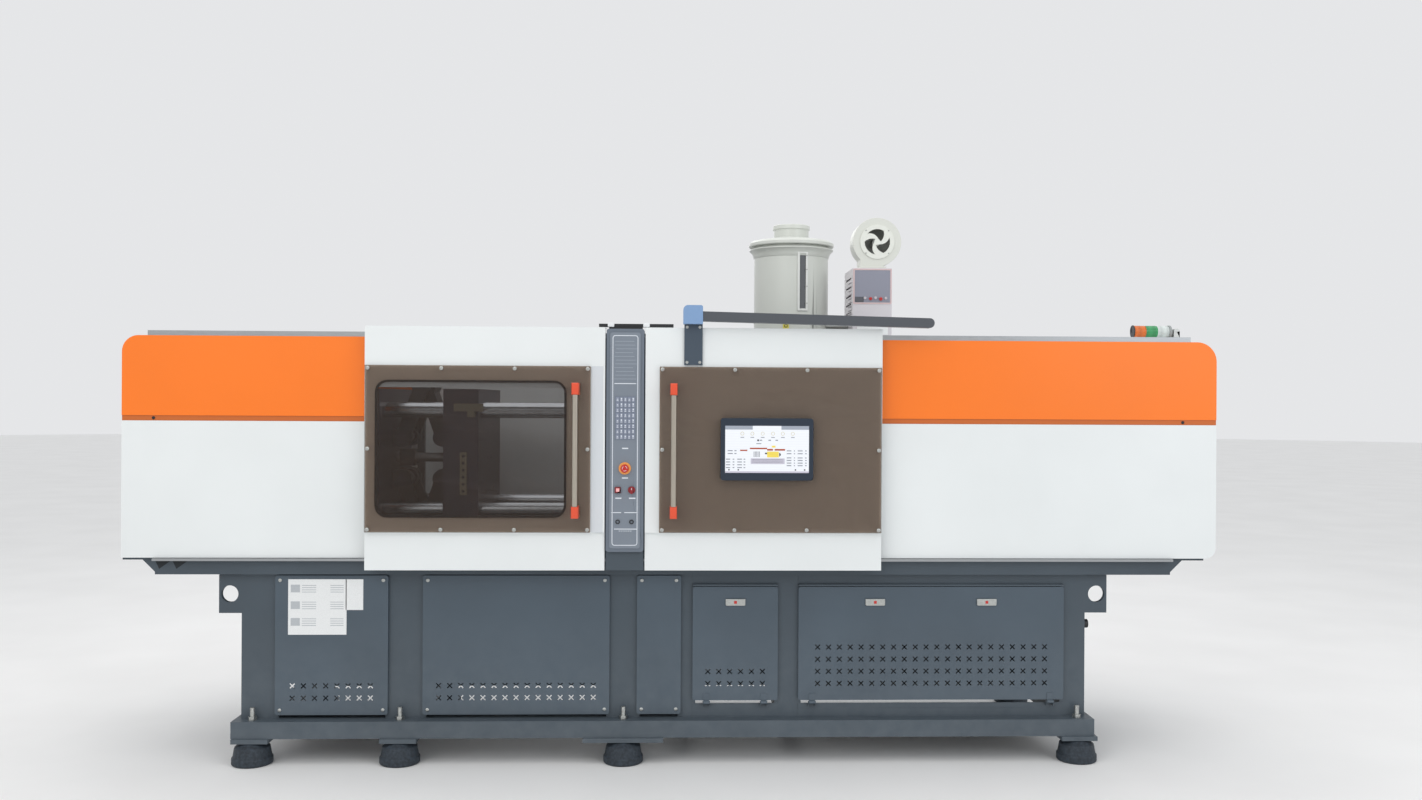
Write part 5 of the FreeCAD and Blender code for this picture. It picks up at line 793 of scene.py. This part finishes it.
class MOULDING_OT_clamp(bpy.types.Operator):
    """Clamping unit: platens, tie bars, toggle, screw, motor and the beige strip on the moving platen"""
    bl_idname = "moulding.clamp"
    bl_label = "Clamping unit"

    def execute(self, context):
        dark, ground = painted_casting("dark enamel on iron", "#3B3D42", 0.48), ground_steel()
        for node in ("fixed_platen", "toggle_platen", "moving_platen"):
            dress(node, iron())
        for node in ("toggle_crosshead", "toggle_rear_link_upper", "toggle_rear_link_lower",
                     "toggle_front_link_upper", "toggle_front_link_lower"):
            dress(node, dark)
        for node in ("ejector_plate", "guide_rails", "clamp_ball_screw"):
            dress(node, ground)
        carve("tie_bars", lambda low, high: "tie_bar_nuts" if high.x - low.x < 0.1 else "tie_bar_rods",
              {"tie_bar_nuts": dark, "tie_bar_rods": brushed_metal("hard-chromed bar", "#C9CCD0", 0.2, 0.8, "X")},
              0.001)
        reface("clamp_motor", moulded_plastic("black motor enamel", "#1B1D21", 0.38, 2.2), 0.0015)
        low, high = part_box("moving_platen")
        face, x = low.y, high.x - 0.075
        back = face + 0.001
        strip = boxes("platen_strip", [((x - 0.018, face - 0.010, 1.315), (x + 0.018, back, 1.535)),
                                       ((x - 0.05, face - 0.012, 1.745), (x + 0.1, back, 1.785)),
                                       ((x + 0.02, face - 0.020, 1.715), (x + 0.06, back, 1.745))],
                      0.002, painted_casting("beige enamel strip", "#8F8672", 0.5, 2.0))
        attach(strip, "moving_platen", "platen_iron")
        holes = [(Vector((x, face - 0.010, 1.335 + i * 0.036)), FRONT,
                  ((0.007, 0.0), (0.007, 0.0012), (0.005, 0.0016), (0.0, 0.0008))) for i in range(6)]
        attach(turned("platen_strip_screws", holes, black_plastic(), 16), "moving_platen", "platen_iron")
        return {"FINISHED"}


class MOULDING_OT_injection(bpy.types.Operator):
    """Injection unit: carriage, heated barrel, screw, ball screw and drive"""
    bl_idname = "moulding.injection"
    bl_label = "Injection unit"

    def execute(self, context):
        reface("injection_carriage", iron(), 0.002)
        carve("barrel", lambda low, high: "barrel_tube" if high.x - low.x > 0.5 else "heater_bands",
              {"barrel_tube": brushed_metal("nitrided steel barrel", "#6B6560", 0.4, 0.9, "X"),
               "heater_bands": zinc_plated_steel("mica heater band", "#A7A49C", 0.38, 12.0)}, 0.0)
        dress("plasticising_screw", ground_steel())
        dress("injection_ball_screw", ground_steel())
        reface("screw_drive", moulded_plastic("black drive enamel", "#202329", 0.4, 2.2), 0.0015)
        return {"FINISHED"}


class MOULDING_OT_column(bpy.types.Operator):
    """Control column: membrane with its outline and rules, keys, emergency stop, push button and selector"""
    bl_idname = "moulding.column"
    bl_label = "Control column"

    def execute(self, context):
        reface("control_column", powder_coated_steel("dark column coat", "#66707C", 0.42), 0.0015)
        reface("column_face", powder_coated_steel("column powder coat", colours().column, 0.4), 0.0005)
        carve("column_fittings",
              lambda low, high: "estop_collar" if high.z - low.z > 0.05 and high.x - low.x < 0.08
              else "keypad_slab" if high.z - low.z > 0.1 else "sockets",
              {"estop_collar": moulded_plastic("orange ABS collar", "#F3A24E", 0.32),
               "keypad_slab": moulded_plastic("grey polyester keypad", "#727B8A", 0.42),
               "sockets": black_plastic()}, 0.0005)
        self.print_face()
        self.fill_keypad()
        self.finish_controls()
        low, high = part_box("control_column")
        gate_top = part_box("clamp_gate_panel")[1].z
        strips = [((low.x + 0.01, -0.66, high.z - 0.002), (high.x - 0.01, -0.625, gate_top + 0.006)),
                  ((-0.389, -0.66, gate_top + 0.0045), (-0.020, -0.62, gate_top + 0.020))]
        attach(boxes("column_top_strip", strips, 0.001, black_plastic()), "root", "column_grey")
        blocks = [((x - 0.016, -0.675, gate_top + 0.0035), (x + 0.016, -0.6595, gate_top + 0.024))
                  for x in (-0.329, -0.154)]
        attach(boxes("column_top_blocks", blocks, 0.002, moulded_plastic("white ABS", "#EDEFF0", 0.36)),
               "root", "column_grey")
        return {"FINISHED"}

    def print_face(self):
        """Outline, rules and faint ruled lines of the membrane."""
        low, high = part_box("column_face")
        front, back = low.y - PRINT_RISE, low.y + PRINT_SUNK
        attach(ring_around("column_outline", (low.x + 0.012, low.z + 0.014), (high.x - 0.012, high.z - 0.014),
                           0.0035, (front, back), 0.014, white_print()), "root", "column_membrane")
        rules = [(-0.309, -0.202, 1.8865, 1.8905), (-0.322, -0.273, 1.2525, 1.2565),
                 (-0.258, -0.191, 1.2525, 1.2565), (-0.307, -0.196, 1.1715, 1.1755)]
        rules += [(-0.284 + i * 0.011, -0.277 + i * 0.011, 1.1625, 1.1655) for i in range(6)]
        rules += [(-0.270, -0.240, 1.5670, 1.5730), (-0.270, -0.240, 1.4215, 1.4275),
                  (-0.302, -0.272, 1.3220, 1.3280), (-0.235, -0.203, 1.3220, 1.3280)]
        faint = [(-0.310 + 0.004 * (i % 3), -0.200 - 0.006 * (i % 4), 1.910 + i * 0.0185, 1.9125 + i * 0.0185)
                 for i in range(11)]
        for name, spans, ink in (
                ("column_rules", rules, white_print()),
                ("column_ruling", faint, moulded_plastic("pale grey screen print", "#98A1AC", 0.4))):
            printed = boxes(name, [((x0, front, z0), (x1, back, z1)) for x0, x1, z0, z1 in spans], 0.0, ink)
            attach(printed, "root", "column_membrane")

    def fill_keypad(self):
        """Eight rows of five keys, each with a short bar and a plain mark of one of three heights."""
        across, up = sizes().key_pitch
        left, bottom, face = -0.301, 1.616, -0.706
        wide, tall, half = across - 0.0035, up - 0.004, 0.0042
        print_front, print_back = face - 0.0016, face - 0.0010
        keys, bars, marks = [], [], []
        for row in range(8):
            for column in range(5):
                x, z = left + column * across, bottom + row * up
                keys.append(((x, face - 0.0012, z), (x + wide, face + 0.0003, z + tall)))
                middle = x + wide / 2.0
                bars.append(((middle - half, print_front, z + 0.0035), (middle + half, print_back, z + 0.0065)))
                height = 0.004 + 0.0022 * ((row * 3 + column * 5) % 3)
                marks.append(((middle - half * 0.7, print_front, z + 0.0100),
                              (middle + half * 0.7, print_back, z + 0.0100 + height)))
        attach(boxes("keypad_keys", keys, 0.0016, moulded_plastic("keypad key film", "#858DA0", 0.38), 1),
               "root", "column_membrane")
        attach(boxes("keypad_legends", bars + marks, 0.0, white_print()), "root", "column_membrane")

    def finish_controls(self):
        """Emergency stop with its turn marks, push button with its lens, selector with its pointer."""
        dress("estop_button", red_plastic())
        reface("push_button", moulded_plastic("dark red ABS", "#7A1620", 0.28), 0.0006)
        reface("selector_knob", moulded_plastic("black-red ABS knob", "#8E1A22", 0.28), 0.0006)
        low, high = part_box("push_button")
        middle, half = (low + high) / 2.0, (high.x - low.x) * 0.27
        lens = ((middle.x - half, low.y - PRINT_RISE, middle.z - half),
                (middle.x + half, low.y + PRINT_SUNK, middle.z + half))
        attach(boxes("push_button_lens", [lens], 0.0004, lit_field("lit pink lens", "#E8A8A8", 0.25)),
               "push_button", "control_red")
        low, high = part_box("estop_button")
        middle, inner, outer, step = (low + high) / 2.0, 0.0105, 0.0125, 13.0
        data = bmesh.new()
        for start in (math.radians(120.0 * turn) for turn in range(3)):
            for i in range(6):
                a, b = start + math.radians(step * i), start + math.radians(step * (i + 1))
                outline = [(middle.x + r * math.cos(t), middle.z + r * math.sin(t))
                           for r, t in ((inner, a), (outer, a), (outer, b), (inner, b))]
                add_prism(data, outline, low.y - 0.0003, low.y + 0.0008)
        bmesh.ops.recalc_face_normals(data, faces=data.faces)
        attach(publish("estop_turn_marks", data, white_print()), "estop", "control_red")
        low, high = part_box("selector_knob")
        middle = (low + high) / 2.0
        pointer = ((middle.x - 0.0014, low.y - 0.0003, middle.z + 0.001),
                   (middle.x + 0.0014, low.y + 0.0006, middle.z + 0.010))
        attach(boxes("selector_pointer", [pointer], 0.0002, white_print()), "selector", "control_red")


def pane(box, left, right, top, bottom):
    """Thin field on the front of a box, given as fractions of its width from the left and height from the top."""
    low, high = box
    wide, tall = high.x - low.x, high.z - low.z
    return ((low.x + left * wide, low.y - 0.0003, high.z - bottom * tall),
            (low.x + right * wide, low.y + 0.0003, high.z - top * tall))


class MOULDING_OT_screen(bpy.types.Operator):
    """Touch screen: black bezel, glass and a generic page of bars, icons and tables"""
    bl_idname = "moulding.screen"
    bl_label = "Screen"

    def execute(self, context):
        reface("screen_housing", moulded_plastic("blue-black ABS bezel", "#1C2A3A", 0.22), 0.0015)
        dress("screen_glass", lit_field("lit white page", "#E4E7EC", 0.18))
        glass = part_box("screen_glass")
        icon_row = (0.204, 0.323, 0.446, 0.569, 0.687, 0.806)
        line = 0.018
        text = [(x, x + w, v, v + line) for v in (0.70, 0.76, 0.82, 0.88)
                for x, w in ((0.01, 0.05), (0.09, 0.02), (0.145, 0.055), (0.22, 0.02))]
        text += [(x0, x1, v, v + line) for v in (0.52, 0.58) for x0, x1 in ((0.03, 0.09), (0.11, 0.135))]
        text += [(x, x + w, v, v + line) for v in (0.52, 0.58, 0.67, 0.725, 0.78, 0.835)
                 for x, w in ((0.735, 0.055), (0.82, 0.014), (0.865, 0.06), (0.955, 0.018))]
        text += [(u - 0.022, u + 0.022, 0.238, 0.252) for u in icon_row]
        text += [(u, u + 0.03, 0.295, 0.315) for u in (0.41, 0.515, 0.60)] + [(0.37, 0.43, 0.37, 0.385)]
        text += [(0.32, 0.69, v, v + 0.006) for v in (0.715, 0.745, 0.78)]
        dark = [(0.382, 0.402, 0.29, 0.325), (0.475, 0.50, 0.57, 0.60)]
        dark += [(0.645 + i * 0.006, 0.652 + i * 0.006, 0.57 + i * 0.012, 0.65 - i * 0.012) for i in range(3)]
        dark += [(u - 0.008, u + 0.008, 0.92, 0.95) for u in (0.046, 0.158, 0.84, 0.95)]
        fields = {
            "bar": ("#9BA2AE", 0.1, [(0.0, 0.327, 0.0, 0.08), (0.67, 1.0, 0.0, 0.08)]),
            "dark": ("#2A2C34", 0.0, dark),
            "grey": ("#8F929A", 0.05, [(0.34 + i * 0.016, 0.348 + i * 0.016, 0.545, 0.66) for i in range(5)]),
            "panel": ("#C3C0CE", 0.1, [(0.305, 0.71, 0.69, 0.81), (0.0, 1.0, 0.965, 1.0)]),
            "red": ("#A8451F", 0.1, [(0.294, 0.50, 0.465, 0.495), (0.50, 0.57, 0.49, 0.525),
                                     (0.59, 0.715, 0.49, 0.525), (0.178, 0.264, 0.508, 0.535)]),
            "text": ("#7F8590", 0.05, text),
            "yellow": ("#E6CF5A", 0.15, [(0.50, 0.64, 0.545, 0.67), (0.555, 0.60, 0.42, 0.46)]),
        }
        for name, (hex_code, strength, spans) in fields.items():
            drawn = boxes("page_" + name, [pane(glass, *span) for span in spans], 0.0,
                          lit_field("lit %s field" % name, hex_code, strength))
            attach(drawn, "nozzle_gate", "screen_glass")
        low, high = glass
        wide, tall = high.x - low.x, high.z - low.z
        dish = ((0.0088, -0.0003), (0.0088, 0.0003), (0.0070, 0.0003), (0.0070, -0.0001), (0.0, -0.0001))
        icons = [((low.x + u * wide, low.y, high.z - 0.165 * tall), FRONT, dish) for u in icon_row]
        attach(turned("page_icons", icons, lit_field("lit sand field", "#C9C098", 0.1), 20),
               "nozzle_gate", "screen_glass")
        return {"FINISHED"}


class MOULDING_OT_hopper(bpy.types.Operator):
    """Hopper: enamelled shell, framed sight glass, lid, rolled beads, flared rim and a plain label"""
    bl_idname = "moulding.hopper"
    bl_label = "Hopper"

    def execute(self, context):
        enamel = powder_coated_steel("hopper stove enamel", colours().hopper, 0.3, 9.0)
        carve("hopper_body", lambda low, high: "sight_frame" if high.x - low.x < 0.08 and high.y < 0
              else "hopper_hinge" if low.y > 0.1 else "hopper_shell",
              {"sight_frame": powder_coated_steel("pale sight frame", "#DEE0DC", 0.35), "hopper_hinge": zinc(),
               "hopper_shell": enamel}, 0.0012)
        reface("hopper_lid", enamel, 0.0012)
        reface("hopper_sight_glass", moulded_plastic("dark sight acrylic", "#3E4246", 0.1, 3.0), 0.0006)
        low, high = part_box("hopper_body")
        x, radius = (low.x + high.x) / 2.0, 0.203
        bead = ((-0.0008, -0.0055), (0.0022, -0.0032), (0.0032, 0.0), (0.0022, 0.0032), (-0.0008, 0.0055))
        data = bmesh.new()
        for z, gap in ((2.236, ()), (2.60, range(68, 76))):  # the sight glass stands in the upper bead's gap
            add_skin(data, [level_ring(data, x, radius + out, z + up) for out, up in bead], gap)
        bmesh.ops.recalc_face_normals(data, faces=data.faces)
        attach(publish("hopper_beads", data, enamel), "carriage", "hopper_grey")
        flare = ((-0.001, 2.584), (0.003, 2.588), (0.006, 2.600), (0.012, 2.614), (0.021, 2.624), (0.027, 2.629),
                 (0.027, 2.6345), (-0.001, 2.6345))
        data = bmesh.new()
        add_skin(data, [level_ring(data, x, radius + out, z) for out, z in flare])
        bmesh.ops.recalc_face_normals(data, faces=data.faces)
        attach(publish("hopper_rim", data, enamel), "carriage", "hopper_grey")
        face = -radius - 0.0012
        label = [((x - 0.062, face, 2.190), (x - 0.030, -radius + 0.014, 2.226))]
        attach(boxes("hopper_label", label, 0.0004, moulded_plastic("yellow vinyl", "#D9CE5C", 0.4, 2.0)),
               "carriage", "hopper_grey")
        disc = ((0.0095, -0.001), (0.0095, 0.0004), (0.006, 0.0004), (0.006, -0.0002), (0.0, -0.0002))
        attach(turned("hopper_label_disc", [((x - 0.046, face, 2.209), FRONT, disc)], black_plastic(), 24),
               "carriage", "hopper_grey")
        glass_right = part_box("hopper_sight_glass")[1].x
        screws = [((glass_right + 0.006, -0.2096, z), FRONT, screw_head(0.0038, 0.0022))
                  for z in (2.33, 2.42, 2.51, 2.585)]
        attach(turned("sight_frame_screws", screws, zinc(), 16), "carriage", "zinc_steel")
        return {"FINISHED"}


class MOULDING_OT_dryer(bpy.types.Operator):
    """Hot-air dryer: case with its instrument panel, louvres and duct, and the blower with its impeller"""
    bl_idname = "moulding.dryer"
    bl_label = "Dryer and blower"

    def execute(self, context):
        case = powder_coated_steel("pale pink-grey coat", "#D3CFD3", 0.4)
        carve("dryer_box", lambda low, high: "dryer_case" if high.z - low.z > 0.2 else "dryer_duct",
              {"dryer_case": case, "dryer_duct": zinc()}, 0.0012)
        carve("blower_housing", lambda low, high: "blower_guard" if high.y - low.y < 0.02 else "blower_scroll",
              {"blower_guard": powder_coated_steel("blower guard coat", "#E4E6DE", 0.34),
               "blower_scroll": powder_coated_steel("blower stove enamel", "#D9DBD3", 0.36)}, 0.0012)
        dress("blower_impeller", painted_casting("grey cast impeller", "#B9BBB6", 0.5))
        low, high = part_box("dryer_box")
        left, right, face, top = 0.931, high.x, low.y, high.z

        def plate(name, near, far, radius, finish):
            """Thin box on the dryer's front between corners (x, depth from the face, z)."""
            span = (near[0], face + near[1], near[2]), (far[0], face + far[1], far[2])
            attach(boxes(name, [span], radius, finish), "carriage", "dryer_grey")
        plate("dryer_panel", (left + 0.012, -0.0018, top - 0.182), (right - 0.010, 0.0005, top - 0.012), 0.001,
              powder_coated_steel("purple-grey panel coat", "#8D8F9D", 0.36))
        attach(ring_around("dryer_panel_edge", (left + 0.004, top - 0.190), (right - 0.002, top - 0.004), 0.006,
                           (face - 0.003, face + 0.0005), 0.003,
                           powder_coated_steel("rose trim coat", "#D8BDBD", 0.4)), "carriage", "dryer_grey")
        plate("dryer_switch_plate", (left + 0.012, -0.0022, top - 0.182), (left + 0.060, -0.0010, top - 0.152),
              0.0006, moulded_plastic("dark switch plate", "#56585F", 0.35))
        knobs = [((left + x, face - 0.0015, top - z), FRONT, ((r, 0.0), (r, h * 0.6), (r * 0.85, h), (0.0, h)))
                 for x, z, r, h in ((0.066, 0.160, 0.0075, 0.008), (0.096, 0.163, 0.0085, 0.010),
                                    (0.122, 0.158, 0.0075, 0.008), (0.150, 0.164, 0.009, 0.012),
                                    (0.177, 0.160, 0.0075, 0.008))]
        attach(turned("dryer_knobs", knobs[::2], moulded_plastic("grey-white ABS knob", "#C9C4C8", 0.3), 20),
               "carriage", "dryer_grey")
        attach(turned("dryer_lamps", knobs[1::2], red_plastic(), 20), "carriage", "control_red")
        plate("dryer_label", (left + 0.026, -0.0008, 2.162), (right - 0.020, 0.0004, 2.166 + 0.066), 0.0003,
              white_vinyl())
        fins = [((left - 0.0055, -0.215, z), (left + 0.0005, -0.105, z + 0.006))
                for z in (top - 0.075 - i * 0.021 for i in range(9))]
        attach(boxes("dryer_louvres", fins, 0.0012, case), "carriage", "dryer_grey")
        low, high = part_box("blower_housing")
        x, z, pitch = (low.x + high.x) / 2.0, 2.660, 0.086
        spots = [((x + pitch * math.cos(math.radians(a)), -0.2208, z + pitch * math.sin(math.radians(a))), FRONT,
                  screw_head(0.004, 0.003)) for a in (45, 135, 225, 315)]
        attach(turned("blower_screws", spots, zinc(), 16), "carriage", "zinc_steel")
        return {"FINISHED"}


class MOULDING_OT_duct(bpy.types.Operator):
    """Duct arm: slate foot with corner screws, blue elbow and dark arm"""
    bl_idname = "moulding.duct"
    bl_label = "Duct arm"

    def execute(self, context):
        carve("duct_arm", lambda low, high: "duct_screws" if high.x - low.x < 0.03
              else "duct_bar" if high.x - low.x > 0.5 else "duct_foot" if high.y - low.y < 0.03 else "duct_elbow",
              {"duct_screws": zinc(), "duct_bar": powder_coated_steel("dark arm coat", colours().arm, 0.42),
               "duct_foot": powder_coated_steel("slate foot coat", "#3C4A58", 0.4),
               "duct_elbow": powder_coated_steel("blue elbow coat", colours().elbow, 0.36)}, 0.0)
        return {"FINISHED"}


class MOULDING_OT_light(bpy.types.Operator):
    """Signal light lying on its side: ribbed orange, green and clear lenses on a zinc bracket"""
    bl_idname = "moulding.light"
    bl_label = "Signal light"

    def execute(self, context):
        left, right = 2.422, 2.608  # ends of the three lenses
        carve("signal_light",
              lambda low, high: "light_base" if low.x > 2.6 else "light_cap" if high.x < 2.43 else None,
              {"light_base": moulded_plastic("grey ABS base", "#9BA09F", 0.36), "light_cap": black_plastic()})
        reface("signal_bracket", zinc())
        third = (right - left) / 3.0
        profile = [(0.0, 0.0), (0.0305, 0.0)]
        for rib in range(6):
            start = 0.0015 + rib * (third - 0.003) / 6.0
            profile += [(0.0318, start), (0.0318, start + third / 12.0), (0.0300, start + third / 10.0)]
        profile += [(0.0305, third - 0.0008), (0.0, third - 0.0008)]
        for i, (name, hex_code) in enumerate((("orange", "#E8772A"), ("green", "#3FA365"), ("clear", "#DFE7E4"))):
            lens = turned("lens_" + name, [((left + i * third, -0.300, 2.185), "X", profile)],
                          tinted_lens(name + " polycarbonate", hex_code, 0.92), 40)
            attach(lens, "light", "signal_lens", "signal_light")
        return {"FINISHED"}


class MOULDING_OT_stage(bpy.types.Operator):
    """Pale floor, soft studio lights and the camera"""
    bl_idname = "moulding.stage"
    bl_label = "Stage"

    def execute(self, context):
        data = bmesh.new()
        data.faces.new(level_ring(data, 0.0, 60.0, 0.0))
        floor = publish("studio_floor", data, matt_floor_paint("pale studio floor", "#EDEDEC"))
        for name, spot, target, size, power, tint in (
                ("key_light", (-3.5, -7.0, 6.0), (0, 0, 1.2), 5.0, 130.0, "#FFFDFA"),
                ("fill_light", (5.5, -6.5, 4.0), (0, 0, 1.2), 4.5, 80.0, "#F6FAFF"),
                ("top_light", (0.0, -0.5, 7.5), (0, 0, 0), 7.0, 110.0, "#FFFFFF"),
                ("back_light", (0.0, 6.0, 5.5), (0, 0, 1.5), 5.0, 70.0, "#FFFFFF")):
            lamp = bpy.data.lights.new(name, "AREA")
            lamp.shape, lamp.size, lamp.energy = "SQUARE", size, power
            lamp.color = linear(tint)[:3]
            shown = bpy.data.objects.new(name, lamp)
            shown.location = spot
            shown.rotation_euler = (Vector(target) - Vector(spot)).to_track_quat("-Z", "Y").to_euler()
            context.scene.collection.objects.link(shown)
        world = bpy.data.worlds.new("studio air")
        world.use_nodes = True
        sky = world.node_tree.nodes["Background"].inputs
        sky["Color"].default_value, sky["Strength"].default_value = linear("#F5F6F8"), 0.86
        context.scene.world = world
        context.scene.view_settings.view_transform = "Standard"
        camera = bpy.data.cameras.new("studio camera")
        camera.sensor_width, camera.lens = 36.0, 30.99
        shown = bpy.data.objects.new("studio camera", camera)
        shown.location = (-0.034, -6.73, 1.81)
        shown.rotation_euler = (math.radians(90.0), math.radians(-0.3), math.radians(-1.9))
        context.scene.collection.objects.link(shown)
        context.scene.camera = shown
        return {"FINISHED"}


PIECES = (MOULDING_OT_bed, MOULDING_OT_covers, MOULDING_OT_feet, MOULDING_OT_hoods, MOULDING_OT_gates,
          MOULDING_OT_clamp, MOULDING_OT_injection, MOULDING_OT_column, MOULDING_OT_screen, MOULDING_OT_hopper,
          MOULDING_OT_dryer, MOULDING_OT_duct, MOULDING_OT_light, MOULDING_OT_stage)


class MOULDING_PT_pieces(bpy.types.Panel):
    """Lists the pieces of the machine, and what can be changed about them"""
    bl_idname = "MOULDING_PT_pieces"
    bl_label = "Moulding machine"
    bl_space_type = "VIEW_3D"
    bl_region_type = "UI"
    bl_category = "Moulding"

    def draw(self, context):
        for group in (context.scene.moulding_paint, context.scene.moulding_sizes):
            box = self.layout.box()
            for name in group.__annotations__:
                box.prop(group, name)
        for piece in PIECES:
            self.layout.operator(piece.bl_idname)


CLASSES = (MouldingPaint, MouldingSizes) + PIECES + (MOULDING_PT_pieces,)


def register():
    for made in CLASSES:
        bpy.utils.register_class(made)
    bpy.types.Scene.moulding_paint = bpy.props.PointerProperty(type=MouldingPaint)
    bpy.types.Scene.moulding_sizes = bpy.props.PointerProperty(type=MouldingSizes)


def unregister():
    del bpy.types.Scene.moulding_sizes
    del bpy.types.Scene.moulding_paint
    for made in reversed(CLASSES):
        bpy.utils.unregister_class(made)


def main():
    register()
    for piece in PIECES:
        group, name = piece.bl_idname.split(".")
        getattr(getattr(bpy.ops, group), name)()


if __name__ == "__main__":
    main()
